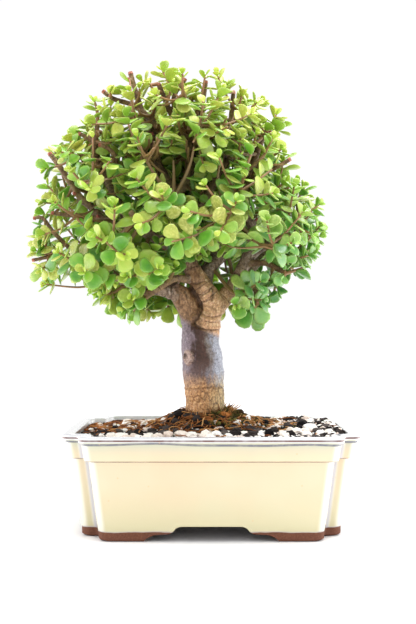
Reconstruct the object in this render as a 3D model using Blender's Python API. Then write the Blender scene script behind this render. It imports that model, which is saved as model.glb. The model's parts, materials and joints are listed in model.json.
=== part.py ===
"""Elephant bush bonsai in its glazed pot.

The pot is one fired piece on four corner feet. Two screens cover its drain holes, gritty soil fills
it, the trunk and its branches are one grown piece standing in a plain hole in the soil, and leafy
sprays of twigs with paired fleshy leaves sit on the branches all round the crown.
"""
import math
import random

import bmesh
import bpy
from mathutils import Matrix, Vector
from mathutils.bvhtree import BVHTree

# Lengths below are millimetres from a point on the ground near the pot's middle; FRAME_SHIFT moves
# that point so that the origin is under the middle of the whole, and MM turns lengths to metres
MM = 0.001
GAP = 0.3

# Driving sizes of the whole
POT_LENGTH = 258.0
POT_DEPTH = 196.0
POT_HEIGHT = 90.0
POT_MIDDLE_Y = 5.0
FRAME_SHIFT = Vector((19.0, -5.0, 0.0))
TRUNK_RADIUS = 18.5
TRUNK_X = -5.0
CROWN_MIDDLE = Vector((-29.0, 0.0, 275.0))
CROWN_DEPTH_SHARE = 0.88

# Pot sizes
FOOT_HEIGHT = 8.0
BELLY_TOP = 69.0
BAND_TOP = 83.5
BELLY_FOOT_INSET = 15.6
BELLY_TOP_INSET = 7.8
BAND_TOP_INSET = 2.2
NOTCH_ALONG = 17.0
NOTCH_DEEP = 22.0
CORNER_RADIUS = 5.0
NOTCH_RADIUS = 4.0
FLOOR_UNDERSIDE = 14.0
FLOOR_TOP = 20.0
FOOT_INSET = 18.0
FOOT_RING = 14.0
FRONT_ARCH_HALF = 57.5
SIDE_ARCH_HALF = 38.0
DRAIN_RADIUS = 7.5
DRAIN_APART = 92.0
INNER_FOOT = 24.0
INNER_FOOT_INSET = 18.0
INNER_RIM_INSET = 10.0
INNER_EDGE_DROP = 1.5

# Soil sizes
SOIL_EDGE = 88.0
SOIL_SLOPE = 2.2
SOIL_CELLS = (13, 10)
MOUND_RISE = 20.0
MOUND_SPREAD = 40.0
GRIT_RELIEF = 1.2
MAIN_GRAINS = 45
MAIN_GRAIN_RADII = (3.6, 5.2)
GRAIN_FLATNESS = (0.6, 0.85)
GRAIN_FARTHEST = (96.0, 78.0)
GRAIN_APART = 16.0
GRAIN_CLEAR = 26.0
SCREEN_SIZE = 27.0
SCREEN_THICK = 1.4
SCREEN_BAR = 2.6
TRUNK_FOOT = 66.0
TRUNK_HOLE_GAP = 0.7

# Leafy growth
SPRAYS = 56
SPRAY_TURN = 0.7
TIP_TURN = 2.1
OUTER_TIPS = 195
OUTER_SHARES = (0.9, 0.97)
INNER_TIPS = 110
INNER_SHARES = (0.35, 0.74)
HUB_SHARE = 0.98
FORK_SHARES = (0.5, 0.7, 0.35, 0.85)
TWIG_LEAST = 14.0
SHOOT_LEAST = 12.0
LOWEST_TIP = 188.0
CROWN_TOP = 415.0
UPWARD = 0.75
LIGHT_TURN = 0.6
TRUNK_CLEAR = 46.0
TRUNK_BARE_TOP = 240.0
SEAT_GAP = 0.25
SEAT_STEP = 0.2
SEAT_STEPS = 60
TWIG_RADII = (2.0, 0.9)
SHOOT_RADII = (1.3, 0.8)
LEAF_LENGTHS = (6.5, 11.0, 14.0, 15.5, 16.5, 17.0)
LEAF_TILTS = (28, 48, 62, 70, 76, 80)
LEAF_STEPS = (0.0, 3.4, 8.2, 14.0, 20.5, 27.5)

# Outline of the crown from the front: angle in degrees from the right, distance from its middle
CROWN_OUTLINE = (
    (0, 143), (14, 128), (27, 119), (47, 133), (64, 142), (90, 152), (108, 152), (127, 134),
    (141, 128), (151, 146), (166, 131), (180, 134), (194, 148), (202, 150), (212, 104), (231, 104),
    (246, 97), (264, 80), (280, 58), (295, 74), (308, 117), (331, 109), (341, 122), (351, 138),
)
# Leafless places in front of the fork and of the upper limbs: x from and to, height from and to,
# and how far forward of the trunk each begins
BARE_PLACES = (
    (-60, -30, 150, 220, 12), (-30, 20, 150, 243, 12), (18, 38, 226, 250, 4), (-40, -14, 292, 336, -6),
)

# Trunk: x, y, height, radius, with the rings that old shoots left round it
TRUNK_LINE = (
    (-5, 0, 66, 15.0), (-5, 0, 78, 17.6), (-5, 0, 103, 18.0), (-6, 0, 120, 18.0), (-7, 0, 137, 18.6),
    (-8, 0, 152, 18.8), (-10, 0, 168, 17.3), (-9, 0, 180, 17.6), (-8, 0, 188, 17.0), (-9, 3, 197, 9.0),
)
TRUNK_RINGS = (124, 174, 184)
RING_SWELL = 0.7

# Scar of a cut branch on the trunk's front left: the middle of its foot and the way it faces
KNOT_PLACE = (-20.0, -11.8, 153.0)
KNOT_FACING = (-0.72, -0.69, 0.05)
KNOT_HEIGHT = 8.0
KNOT_RADII = (8.5, 5.8)
KNOT_LIP = 2.2

# Woody branches in the order they grow, each from inside the one before it: x, y, height, radius
BRANCHES = {
    "left_fork": ((-14, 1, 184, 14), (-19, -1, 197, 11.8), (-25, -5, 207, 10.4), (-32, -9, 213, 8.4),
                  (-36, -11, 218, 6.8)),
    "leader": ((-4, -6, 174, 11.6), (-4, -7, 181, 12), (-3, -7, 188, 11.6), (0, -6, 195, 10.6),
               (2, -5, 203, 10.4), (-5, -6, 212, 10.2), (-11, -6, 221, 9.4), (-15, -6, 229, 8.4),
               (-19, -4, 239, 7.2), (-22, 0, 252, 6.4), (-26, 4, 266, 5.8), (-29, 7, 281, 5.4),
               (-31, 6, 295, 5.2), (-31, 2, 307, 5)),
    "right_fork": ((1, -2, 195, 9.5), (8, 0, 204, 9), (16, 2, 212, 7.8), (23, 4, 223, 6.8),
                   (29, 6, 235, 6.2), (35, 8, 247, 5.8)),
    "left_arm": ((-31, 3, 306, 4.8), (-39, -4, 313, 4.6), (-46, -10, 324, 4.2), (-54, -14, 333, 3.6),
                 (-63, -18, 341, 3)),
    "right_arm": ((-31, 2, 306, 4.8), (-24, 0, 313, 4.8), (-20, -2, 326, 4.6), (-18, -4, 341, 4.2),
                  (-19, -5, 352, 3.6), (-24, -6, 361, 2.6)),
    "right_upright": ((35, 8, 246, 5.4), (39, 6, 259, 5), (38, 4, 273, 4.6), (32, 2, 286, 4.2),
                      (32, 0, 302, 4), (34, 0, 316, 3.8), (39, 0, 332, 3.6), (47, 0, 356, 3)),
    "right_reach": ((34, 8, 245, 5), (47, 6, 255, 4.6), (58, 3, 260, 4), (71, 0, 266, 3.4),
                    (82, -3, 270, 2.8)),
    "right_low": ((31, 6, 239, 3.6), (42, 2, 240, 3.1), (52, -2, 239, 2.8), (68, -6, 230, 2.6)),
    "right_inner": ((-7, -3, 217, 6.5), (-3, 3, 231, 5.6), (5, 9, 241, 5), (14, 15, 249, 4.4),
                    (25, 20, 260, 3.8)),
    "middle_upright": ((-25, 4, 263, 4.8), (-16, 10, 280, 4.3), (-8, 14, 297, 4.2), (1, 16, 313, 4.2),
                       (8, 16, 326, 4), (16, 16, 338, 3.6)),
    "left_scaffold": ((-20, -1, 245, 6), (-36, -12, 255, 5), (-48, -20, 260, 4.6), (-60, -24, 266, 4.4),
                      (-73, -24, 274, 4.3), (-81, -22, 289, 4.3), (-89, -20, 305, 4.2),
                      (-99, -20, 328, 3.8)),
    "left_reach": ((-72, -23, 273, 4.2), (-87, -16, 276, 4), (-99, -8, 279, 3.9), (-110, -4, 291, 3.6),
                   (-121, -2, 301, 3.4), (-139, 0, 328, 2.8), (-149, 0, 341, 2.4)),
    "left_low": ((-27, -8, 209, 7.5), (-42, -15, 214, 5.8), (-55, -19, 216, 5.1), (-68, -20, 219, 4.7),
                 (-81, -18, 223, 4.4), (-94, -14, 232, 4), (-104, -10, 239, 3.6), (-118, -8, 244, 3),
                 (-134, -6, 247, 2.6)),
    "left_thin": ((-18, -8, 224, 4), (-32, -18, 225, 3.4), (-40, -24, 221, 3.2), (-48, -27, 215, 3),
                  (-64, -26, 210, 2.6), (-77, -24, 205, 2.2), (-75, -23, 196, 2)),
    "cut_stem": ((-46, -10, 322, 4.2), (-50, -6, 336, 3.9), (-52, -4, 361, 3.8), (-54, -4, 375, 3.6)),
    "top_left": ((-52, -4, 358, 3.4), (-56, 2, 372, 3), (-71, 6, 386, 2.7), (-90, 4, 392, 2.4),
                 (-100, 3, 399, 2.2)),
    "top_stub": ((-65, 6, 383, 2.8), (-72, 6, 406, 2.5), (-75, 6, 417, 2.5)),
    "left_upright": ((-89, -20, 304, 3.6), (-97, -13, 317, 3), (-106, -6, 341, 2.8), (-104, -4, 369, 2.4)),
    "crown_left": ((-20, -2, 325, 3.8), (-23, 7, 345, 3.4), (-29, 10, 364, 3.2), (-38, 10, 381, 3),
                   (-49, 8, 407, 2.4)),
    "crown_middle": ((-28, 10, 363, 3), (-26, 12, 382, 2.8), (-26, 12, 410, 2.4)),
    "crown_right": ((-19, 0, 330, 3.4), (-16, 12, 357, 3), (-10, 13, 378, 2.8), (-5, 11, 410, 2.4)),
    "crown_far_right": ((8, 16, 326, 3.6), (14, 18, 352, 3.1), (18, 18, 371, 2.8), (21, 15, 401, 2.2)),
    "back_left_high": ((-19, -2, 241, 6.4), (-21, 14, 253, 6), (-26, 34, 268, 5.2), (-34, 52, 289, 4.4),
                       (-42, 64, 310, 3.8)),
    "back_right_high": ((-6, -3, 213, 7), (-4, 14, 228, 6.2), (1, 34, 249, 5.4), (11, 54, 273, 4.6),
                        (21, 66, 296, 3.8)),
    "back_left_low": ((-21, -4, 203, 7.5), (-32, 14, 214, 6), (-51, 34, 230, 5.2), (-71, 50, 247, 4.4),
                      (-91, 58, 265, 3.6)),
    "back_right_low": ((20, 4, 221, 6), (33, 24, 231, 5), (49, 42, 247, 4.2), (65, 52, 265, 3.4)),
    "front_middle": ((-29, 6, 279, 4.4), (-31, -18, 282, 4), (-32, -40, 286, 3.5), (-33, -58, 292, 3)),
    "front_right": ((38, 5, 263, 4.4), (32, -16, 264, 4), (25, -38, 269, 3.5), (15, -56, 278, 3)),
    "front_left": ((-48, -20, 260, 4.4), (-54, -40, 262, 4), (-62, -58, 269, 3.4), (-69, -70, 280, 2.8)),
    "front_low": ((24, 3, 226, 3.6), (34, -10, 220, 2.8), (40, -18, 214, 2.4), (42, -21, 203, 2)),
}


# Growth rule: where every twig and leaf of the crown goes

def tube_shape(points, radii, sides=6):
    """Corners and faces of a plain tube, used only to test what twigs and leaves must stay clear of"""
    corners = []
    for index, point in enumerate(points):
        ahead = points[min(index + 1, len(points) - 1)] - points[max(index - 1, 0)]
        across = ahead.normalized().orthogonal().normalized()
        other = ahead.normalized().cross(across)
        for side in range(sides):
            turn = math.tau * side / sides
            corners.append(point + (across * math.cos(turn) + other * math.sin(turn)) * radii[index])
    faces = []
    for ring in range(len(points) - 1):
        for side in range(sides):
            low = ring * sides + side
            beside = ring * sides + (side + 1) % sides
            faces.append((low, beside, beside + sides, low + sides))
    return corners, faces


def leaf_point(point, leaf, start=0.0, swell=0.0):
    """Moves a point of a unit ball to the fleshy leaf: egg-shaped, widest past its middle"""
    length, width, thick = leaf["length"], leaf["width"] + 2 * swell, leaf["thick"] + 2 * swell
    flat = math.hypot(point.x, point.y)
    toward_tip = point.x / flat if flat > 1e-6 else 0.0
    sideways = point.y / flat if flat > 1e-6 else 0.0
    middle = 0.56 * length
    along = middle + (length * (0.5 + 0.5 * toward_tip) - middle) * flat
    across = 0.6 * width * sideways * (0.74 + 0.40 * toward_tip) * flat
    cup = leaf["cup"] * across * across / width
    arch = -leaf["arch"] * along * along / length
    along = start + along * (length - start + swell) / length
    return Vector((along, across, 0.5 * thick * point.z + cup + arch))


def leaf_shape(leaf, start=0.0, swell=0.0):
    """Corners and faces of a leaf with seven sides, in place"""
    ring = [math.pi + math.tau * step / 7 for step in range(7)]
    corners = [Vector((math.cos(turn), math.sin(turn), 0.0)) for turn in ring]
    corners += [Vector((0, 0, 1)), Vector((0, 0, -1))]
    placed = [leaf["place"] @ leaf_point(corner, leaf, start, swell) for corner in corners]
    faces = [(step, (step + 1) % 7, 7) for step in range(7)]
    faces += [((step + 1) % 7, step, 8) for step in range(7)]
    return placed, faces


def crown_radius(direction):
    """Distance from the crown's middle to its surface along a direction"""
    flat = math.hypot(direction.x, direction.y)
    lift = math.degrees(math.atan2(direction.z, flat))
    right = outline_distance(lift % 360)
    left = outline_distance((180 - lift) % 360)
    share = 0.5 + 0.5 * direction.x / max(flat, 1e-6)
    deep = abs(direction.y)
    return (left + (right - left) * share) * (1 - (1 - CROWN_DEPTH_SHARE) * deep * deep)


def outline_distance(angle):
    """Distance of the crown's outline from its middle at one angle, between the listed ones"""
    points = CROWN_OUTLINE + ((360, CROWN_OUTLINE[0][1]),)
    for (first, near), (last, far) in zip(points, points[1:]):
        if first <= angle <= last:
            return near + (far - near) * (angle - first) / (last - first)
    return points[0][1]


def spiral(count, turn=0.0):
    """Directions spread evenly over a ball, on a spiral from its bottom to its top"""
    directions = []
    for index in range(count):
        height = -1 + (2 * index + 1) / count
        around = turn + index * math.pi * (3 - math.sqrt(5))
        flat = math.sqrt(1 - height * height)
        directions.append(Vector((flat * math.cos(around), flat * math.sin(around), height)))
    return directions


def crown_place(direction, share):
    """Place in the crown along a direction, or nothing where bare wood and air are"""
    place = CROWN_MIDDLE + direction * crown_radius(direction) * share
    beside_trunk = math.hypot(place.x - TRUNK_X, place.y) < TRUNK_CLEAR
    if place.z < LOWEST_TIP or (place.z < TRUNK_BARE_TOP and beside_trunk) or is_bare(place):
        return None
    return place


def is_bare(place):
    """Whether a place is one where the photographed tree shows wood and no leaves"""
    for left, right, low, high, front in BARE_PLACES:
        if left < place.x < right and low < place.z < high and place.y < front:
            return True
    return False


def rising(place):
    """Way in which a twig's end points: out of the crown and up to the light"""
    return ((place - CROWN_MIDDLE).normalized() + Vector((0, 0, UPWARD))).normalized()


def bend(start, middle, end, parts):
    """Points along a smooth bend from start to end, drawn towards middle"""
    points = []
    for index in range(parts + 1):
        t = index / parts
        points.append(start * (1 - t) ** 2 + middle * 2 * t * (1 - t) + end * t * t)
    return points


class Neighbours:
    """Keeps what has grown so far in cells of space, to ask what a new piece would cross"""

    CELL = 24.0

    def __init__(self):
        self.cells = {}

    def cell(self, place):
        return tuple(int(math.floor(part / self.CELL)) for part in place)

    def add(self, place, shape, owner):
        self.cells.setdefault(self.cell(place), []).append((BVHTree.FromPolygons(*shape), owner))

    def add_tube(self, points, radii, owner):
        for index in range(len(points) - 1):
            span = points[index + 1] - points[index]
            steps = max(1, math.ceil(span.length / (self.CELL / 2)))
            for step in range(steps):
                ends = [points[index] + span * (part / steps) for part in (step, step + 1)]
                self.add((ends[0] + ends[1]) / 2, tube_shape(ends, radii[index:index + 2]), owner)

    def crosses(self, place, shape, owner):
        tree = BVHTree.FromPolygons(*shape)
        x, y, z = self.cell(place)
        for cell in ((x + i, y + j, z + k) for i in (-1, 0, 1) for j in (-1, 0, 1) for k in (-1, 0, 1)):
            for other, other_owner in self.cells.get(cell, ()):
                if other_owner != owner and tree.overlap(other):
                    return True
        return False


def tube_crosses(grown, points, radii, owner):
    """Whether a tube would pass through anything that another owner has grown"""
    for index in range(len(points) - 1):
        span = points[index + 1] - points[index]
        steps = max(1, math.ceil(span.length / (grown.CELL / 2)))
        for step in range(steps):
            ends = [points[index] + span * (part / steps) for part in (step, step + 1)]
            if grown.crosses((ends[0] + ends[1]) / 2, tube_shape(ends, radii[index:index + 2]), owner):
                return True
    return False


def wood_lines():
    """Trunk and branches as lists of places and radii"""
    lines = [TRUNK_LINE] + list(BRANCHES.values())
    return [([Vector(point[:3]) for point in line], [point[3] for point in line]) for line in lines]


def wood_seats(lines):
    """Places along the branches where a twig may start, with the branch's radius there"""
    seats = []
    for points, radii in lines[1:]:
        for index in range(len(points) - 1):
            for share in (0.35, 0.7, 1.0):
                place = points[index].lerp(points[index + 1], share)
                radius = radii[index] + (radii[index + 1] - radii[index]) * share
                seats.append((place, radius))
    return seats


def outside_wood(place, spans):
    """Distance of a place from the round wood, below nothing when the place is inside it"""
    nearest = math.inf
    for start, end, low, high, is_tip in spans:
        span = end - start
        share = (place - start).dot(span) / span.length_squared
        if is_tip and share > 1:
            beyond = (share - 1) * span.length
            beside = (place - start - span * share).length - high
            away = math.hypot(beyond, max(beside, 0))
        else:
            share = min(max(share, 0), 1)
            away = (place - start - span * share).length - low - (high - low) * share
        nearest = min(nearest, away)
    return nearest


def main_twig(seat, radius, tip, spans):
    """Twig from a seat in a branch out to its tip, its end face brought to lie just off the bark"""
    way = (tip - seat).normalized()
    for step in range(SEAT_STEPS):
        start = seat + way * (radius * 0.6 + step * SEAT_STEP)
        middle = tip - rising(tip) * (tip - start).length * 0.45
        points = bend(start, middle, tip, 3)
        ahead = (points[1] - start).normalized()
        across = ahead.orthogonal().normalized()
        other = ahead.cross(across)
        clear = math.inf
        for side in range(8):
            turn = math.tau * side / 8
            corner = start + (across * math.cos(turn) + other * math.sin(turn)) * TWIG_RADII[0]
            clear = min([clear] + [outside_wood(corner + ahead * far, spans) for far in (0, 3, 7)])
        if clear > SEAT_GAP:
            return points
    return None


def twig_from_wood(grown, spans, seats, hub, tip, owner):
    """Main twig of a spray: it starts just off the nearest branch that gives it a clear way out"""
    outward = (hub - CROWN_MIDDLE).normalized()

    def cost(seat):
        way = hub - seat[0]
        back = 1 - way.normalized().dot(outward) if way.length > 1 else 0
        return way.length + 22 * back + 2.5 * max(0, seat[1] - 5)

    for seat, radius in sorted(seats, key=cost)[:40]:
        near = [span for span in spans if outside_wood(seat, [span]) < SEAT_STEPS * SEAT_STEP + 12]
        points = main_twig(seat, radius, tip, near)
        if not points or (tip - points[0]).length < TWIG_LEAST:
            continue
        radii = [TWIG_RADII[0] + (TWIG_RADII[1] - TWIG_RADII[0]) * part / 3 for part in range(4)]
        wide = [radius + GAP for radius in radii]
        off_bark = points[0] + (points[1] - points[0]).normalized() * 2 * GAP
        if not tube_crosses(grown, [off_bark] + points[1:], wide, owner):
            return points, radii, seat
    return None


def side_shoot(grown, points, share, tip, owner):
    """Shoot that leaves the main twig part of the way along and ends at its own tip"""
    span = share * (len(points) - 1)
    index = min(int(span), len(points) - 2)
    start = points[index].lerp(points[index + 1], span - index)
    ahead = (points[index + 1] - points[index]).normalized()
    length = (tip - start).length
    if length < SHOOT_LEAST:
        return None
    middle = (start + ahead * length * 0.4).lerp(tip - rising(tip) * length * 0.5, 0.6)
    path = bend(start, middle, tip, 2)
    radii = [SHOOT_RADII[0] + (SHOOT_RADII[1] - SHOOT_RADII[0]) * part / 2 for part in range(3)]
    wide = [radius + GAP for radius in radii]
    if tube_crosses(grown, [start + (path[1] - start) * 0.3] + path[1:], wide, owner):
        return None
    return path, radii


def leaf_place(node, ahead, side, tilt, radius, outward):
    """Placing of a leaf: its stalk end in the twig, its face turned a little to the light"""
    lean = math.radians(tilt)
    along = (ahead * math.cos(lean) + side * math.sin(lean)).normalized()
    face = ahead * math.sin(lean) - side * math.cos(lean)
    face = face + (outward * 0.6 + Vector((0, 0, 1.0))) * LIGHT_TURN
    face = (face - along * face.dot(along)).normalized()
    across = face.cross(along)
    origin = node + side * radius * 0.25
    return Matrix((
        (along.x, across.x, face.x, origin.x),
        (along.y, across.y, face.y, origin.y),
        (along.z, across.z, face.z, origin.z),
        (0, 0, 0, 1),
    ))


def leaf_growth(height):
    """Leaves are larger low in the crown and smaller at its top"""
    share = min(max((height - LOWEST_TIP) / (CROWN_TOP - LOWEST_TIP), 0), 1)
    return 1.14 - 0.34 * share


def nodes_along(points, radii):
    """Leaf nodes from a twig's tip inwards: place, direction and radius, while the twig lasts"""
    total = sum((b - a).length for a, b in zip(points, points[1:]))
    for rank, back in enumerate(LEAF_STEPS):
        want = total - back
        if want < 5:
            return
        gone = 0.0
        for index in range(len(points) - 1):
            span = (points[index + 1] - points[index]).length
            if gone + span >= want - 1e-6:
                share = (want - gone) / span
                place = points[index].lerp(points[index + 1], share)
                ahead = (points[index + 1] - points[index]).normalized()
                yield rank, place, ahead, radii[index] + (radii[index + 1] - radii[index]) * share
                break
            gone += span


def grow_leaves(grown, twig, spray, shoot):
    """Pairs of leaves along a twig, each pair turned a quarter from the last, none through another"""
    points, radii = twig
    draw = random.Random(spray * 1000 + shoot)
    turn = draw.uniform(0, math.tau)
    lean_to = Vector((draw.uniform(-1, 1), draw.uniform(-1, 1), draw.uniform(-1, 1))).normalized()
    leaves = []
    for rank, node, ahead, radius in nodes_along(points, radii):
        outward = (node - CROWN_MIDDLE).normalized()
        across = ahead.cross(lean_to).normalized()
        other = ahead.cross(across)
        for half in (0, 1):
            chance = random.Random((spray * 1000 + shoot) * 100 + rank * 2 + half)
            size = LEAF_LENGTHS[rank] * chance.uniform(0.84, 1.18) * leaf_growth(node.z)
            leaf = {
                "length": size, "width": size * chance.uniform(0.72, 0.88), "thick": 1.1 + 0.05 * size,
                "cup": chance.uniform(0.05, 0.5), "arch": chance.uniform(-0.02, 0.14),
                "rank": rank, "half": half, "shoot": shoot, "tint": chance.random(),
            }
            sway = chance.uniform(-0.25, 0.25)
            tilt = LEAF_TILTS[rank] + chance.uniform(-9, 9)
            for more, less, share in ((0, 0, 1), (0.35, 0, 1), (-0.35, 0, 1), (0, -16, 0.94),
                                      (0, 14, 0.9), (0.6, -8, 0.85), (-0.6, -8, 0.85), (0, -28, 0.8)):
                angle = turn + rank * math.pi / 2 + half * math.pi + sway + more
                side = (across * math.cos(angle) + other * math.sin(angle)).normalized()
                leaf["place"] = leaf_place(node, ahead, side, tilt + less, radius, outward)
                leaf["length"] = size * share
                shape = leaf_shape(leaf, start=radius + 0.9, swell=0.25)
                centre = leaf["place"] @ Vector((leaf["length"] * 0.55, 0, 0))
                if not is_bare(centre) and not grown.crosses(centre, shape, None):
                    grown.add(centre, leaf_shape(leaf, start=radius + 0.9, swell=0.15), "leaf")
                    leaves.append(leaf)
                    break
    return leaves


def grow_crown():
    """Every spray of the crown as its twigs and leaves"""
    lines = wood_lines()
    grown = Neighbours()
    spans = []
    for points, radii in lines:
        grown.add_tube(points, radii, "wood")
        tips = [False] * (len(points) - 2) + [True]
        spans += zip(points, points[1:], radii, radii[1:], tips)
    seats = wood_seats(lines)

    hubs = [way for way in spiral(SPRAYS, SPRAY_TURN) if crown_place(way, HUB_SHARE)]
    tips = {index: [] for index in range(len(hubs))}
    draw = random.Random(11)
    for count, shares in ((OUTER_TIPS, OUTER_SHARES), (INNER_TIPS, INNER_SHARES)):
        for way in spiral(count, TIP_TURN):
            place = crown_place(way, draw.uniform(*shares))
            if place:
                nearest = max(range(len(hubs)), key=lambda index: hubs[index].dot(way))
                tips[nearest].append(place)

    sprays = []
    for index, hub_way in enumerate(hubs):
        hub = crown_place(hub_way, HUB_SHARE)
        centre = CROWN_MIDDLE.lerp(hub, 0.7)
        ends = sorted(tips[index], key=lambda tip: (tip - hub).length)
        main = None
        for tip in ends[:3]:
            main = twig_from_wood(grown, spans, seats, centre, tip, index)
            if main:
                ends.remove(tip)
                break
        if not main:
            continue
        points, radii, seat = main
        grown.add_tube(points, radii, index)
        twigs = [(points, radii)]
        for order, tip in enumerate(ends):
            for share in (FORK_SHARES[0] + 0.08 * (order % 4),) + FORK_SHARES[1:]:
                shoot = side_shoot(grown, points, share, tip, index)
                if shoot:
                    grown.add_tube(*shoot, index)
                    twigs.append(shoot)
                    break
        sprays.append({"index": index, "twigs": twigs, "leaves": [], "seat": seat})
    for spray in sprays:
        for shoot, twig in enumerate(spray["twigs"]):
            spray["leaves"] += grow_leaves(grown, twig, spray["index"], shoot)
    return sprays


# Making of solids

def clear_scene():
    """Empties the scene, so that the model is all there is"""
    for thing in list(bpy.data.objects):
        bpy.data.objects.remove(thing)
    for group in list(bpy.data.collections):
        bpy.data.collections.remove(group)


def new_collection(name):
    """Adds a collection to the scene"""
    group = bpy.data.collections.new(name)
    bpy.context.scene.collection.children.link(group)
    return group


def surface(name, colour, roughness):
    """Plain material for one piece"""
    material = bpy.data.materials.new(name)
    material.use_nodes = True
    shader = material.node_tree.nodes["Principled BSDF"]
    shader.inputs["Base Color"].default_value = (*colour, 1.0)
    shader.inputs["Roughness"].default_value = roughness
    shader.inputs["Metallic"].default_value = 0.0
    return material


def to_object(name, shape, group):
    """Turns a bmesh in millimetres into an object in metres, in the plant's own frame"""
    bmesh.ops.translate(shape, vec=FRAME_SHIFT, verts=shape.verts)
    bmesh.ops.scale(shape, vec=(MM, MM, MM), verts=shape.verts)
    mesh = bpy.data.meshes.new(name)
    shape.to_mesh(mesh)
    shape.free()
    thing = bpy.data.objects.new(name, mesh)
    group.objects.link(thing)
    return thing


def tube_object(name, points, radii, fineness, group):
    """Round twig or branch: a curve with a thickness, made a mesh with its ends joined on"""
    curve = bpy.data.curves.new(name, "CURVE")
    curve.dimensions = "3D"
    curve.bevel_depth = MM
    curve.bevel_resolution = fineness
    curve.use_fill_caps = True
    line = curve.splines.new("POLY")
    line.points.add(len(points) - 1)
    for knot, place, radius in zip(line.points, points, radii):
        knot.co = ((place + FRAME_SHIFT) * MM).to_4d()
        knot.radius = radius
    drawn = bpy.data.objects.new(name + "_line", curve)
    group.objects.link(drawn)
    bpy.context.view_layer.update()
    evaluated = drawn.evaluated_get(bpy.context.evaluated_depsgraph_get())
    mesh = bpy.data.meshes.new_from_object(evaluated)
    shape = bmesh.new()
    shape.from_mesh(mesh)
    bmesh.ops.remove_doubles(shape, verts=shape.verts, dist=0.00001)
    bmesh.ops.recalc_face_normals(shape, faces=shape.faces)
    shape.to_mesh(mesh)
    shape.free()
    solid = bpy.data.objects.new(name, mesh)
    solid.matrix_world = drawn.matrix_world
    bpy.data.objects.remove(drawn)
    group.objects.link(solid)
    return solid


def apply_modifiers(thing):
    """Keeps what an object's modifiers make and drops the modifiers"""
    bpy.context.view_layer.update()
    evaluated = thing.evaluated_get(bpy.context.evaluated_depsgraph_get())
    mesh = bpy.data.meshes.new_from_object(evaluated)
    thing.modifiers.clear()
    thing.data = mesh


def join_into(thing, others, solver):
    """One union of an object with a whole collection, whose objects then go"""
    pieces = new_collection(thing.name + "_pieces")
    for other in others:
        for home in list(other.users_collection):
            home.objects.unlink(other)
        pieces.objects.link(other)
    union = thing.modifiers.new("join", "BOOLEAN")
    union.operation = "UNION"
    union.operand_type = "COLLECTION"
    union.collection = pieces
    union.solver = solver
    apply_modifiers(thing)
    for other in others:
        bpy.data.objects.remove(other)
    bpy.data.collections.remove(pieces)


def cut(thing, cutter, operation="DIFFERENCE"):
    """Cuts an object with a cutter, or keeps only what lies inside the cutter"""
    cutter.hide_render = True
    cutter.display_type = "WIRE"
    change = thing.modifiers.new(cutter.name, "BOOLEAN")
    change.operation = operation
    change.object = cutter
    change.solver = "EXACT"


# Pot

def notched_ring(inset, height):
    """The pot's plan at one height: a rectangle whose four corners step inwards, all edges rounded"""
    half_x = POT_LENGTH / 2 - inset
    half_y = POT_DEPTH / 2 - inset
    arcs = (
        (half_x - CORNER_RADIUS, half_y - NOTCH_DEEP - CORNER_RADIUS, CORNER_RADIUS, (0, 45, 90)),
        (half_x - NOTCH_ALONG + NOTCH_RADIUS, half_y - NOTCH_DEEP + NOTCH_RADIUS, NOTCH_RADIUS,
         (270, 225, 180)),
        (half_x - NOTCH_ALONG - CORNER_RADIUS, half_y - CORNER_RADIUS, CORNER_RADIUS, (0, 45, 90)),
    )
    corner = []
    for x, y, radius, turns in arcs:
        for turn in turns:
            angle = math.radians(turn)
            corner.append((x + radius * math.cos(angle), y + radius * math.sin(angle)))
    ring = []
    for side_x, side_y in ((1, 1), (-1, 1), (-1, -1), (1, -1)):
        points = corner if side_x * side_y > 0 else corner[::-1]
        ring += [Vector((side_x * x, POT_MIDDLE_Y + side_y * y, height)) for x, y in points]
    return ring


def loft(rings):
    """Closed solid through a row of rings, with its first and last ring filled"""
    shape = bmesh.new()
    loops = [[shape.verts.new(point) for point in ring] for ring in rings]
    for lower, upper in zip(loops, loops[1:]):
        for index in range(len(lower)):
            beside = (index + 1) % len(lower)
            shape.faces.new((lower[index], lower[beside], upper[beside], upper[index]))
    shape.faces.new(loops[0][::-1])
    shape.faces.new(loops[-1])
    return shape


def inner_inset(height):
    """How far the pot's inner wall lies inside the rim's outline at a height"""
    share = (height - INNER_FOOT) / (POT_HEIGHT - INNER_EDGE_DROP - INNER_FOOT)
    return INNER_FOOT_INSET + (INNER_RIM_INSET - INNER_FOOT_INSET) * share


def pot_profile():
    """Inset and height of each ring of the pot, up its outside, over the lip and down its inside"""
    return (
        (FOOT_INSET, 0), (FOOT_INSET - 2.2, 1.8), (BELLY_FOOT_INSET + 0.2, FOOT_HEIGHT - 0.4),
        (BELLY_FOOT_INSET - 0.4, FOOT_HEIGHT + 0.4), (BELLY_TOP_INSET, BELLY_TOP - 0.6),
        (BELLY_TOP_INSET - 2.4, BELLY_TOP), (BELLY_TOP_INSET - 3.4, BELLY_TOP + 1.2),
        (BAND_TOP_INSET, BAND_TOP - 0.6), (BAND_TOP_INSET + 0.1, BAND_TOP + 0.6),
        (0.3, BAND_TOP + 1.6), (0, POT_HEIGHT - 1.8), (1.3, POT_HEIGHT),
        (INNER_RIM_INSET - 1.4, POT_HEIGHT), (INNER_RIM_INSET, POT_HEIGHT - INNER_EDGE_DROP),
        (INNER_FOOT_INSET, INNER_FOOT), (INNER_FOOT_INSET + 3.5, FLOOR_TOP),
    )


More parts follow.
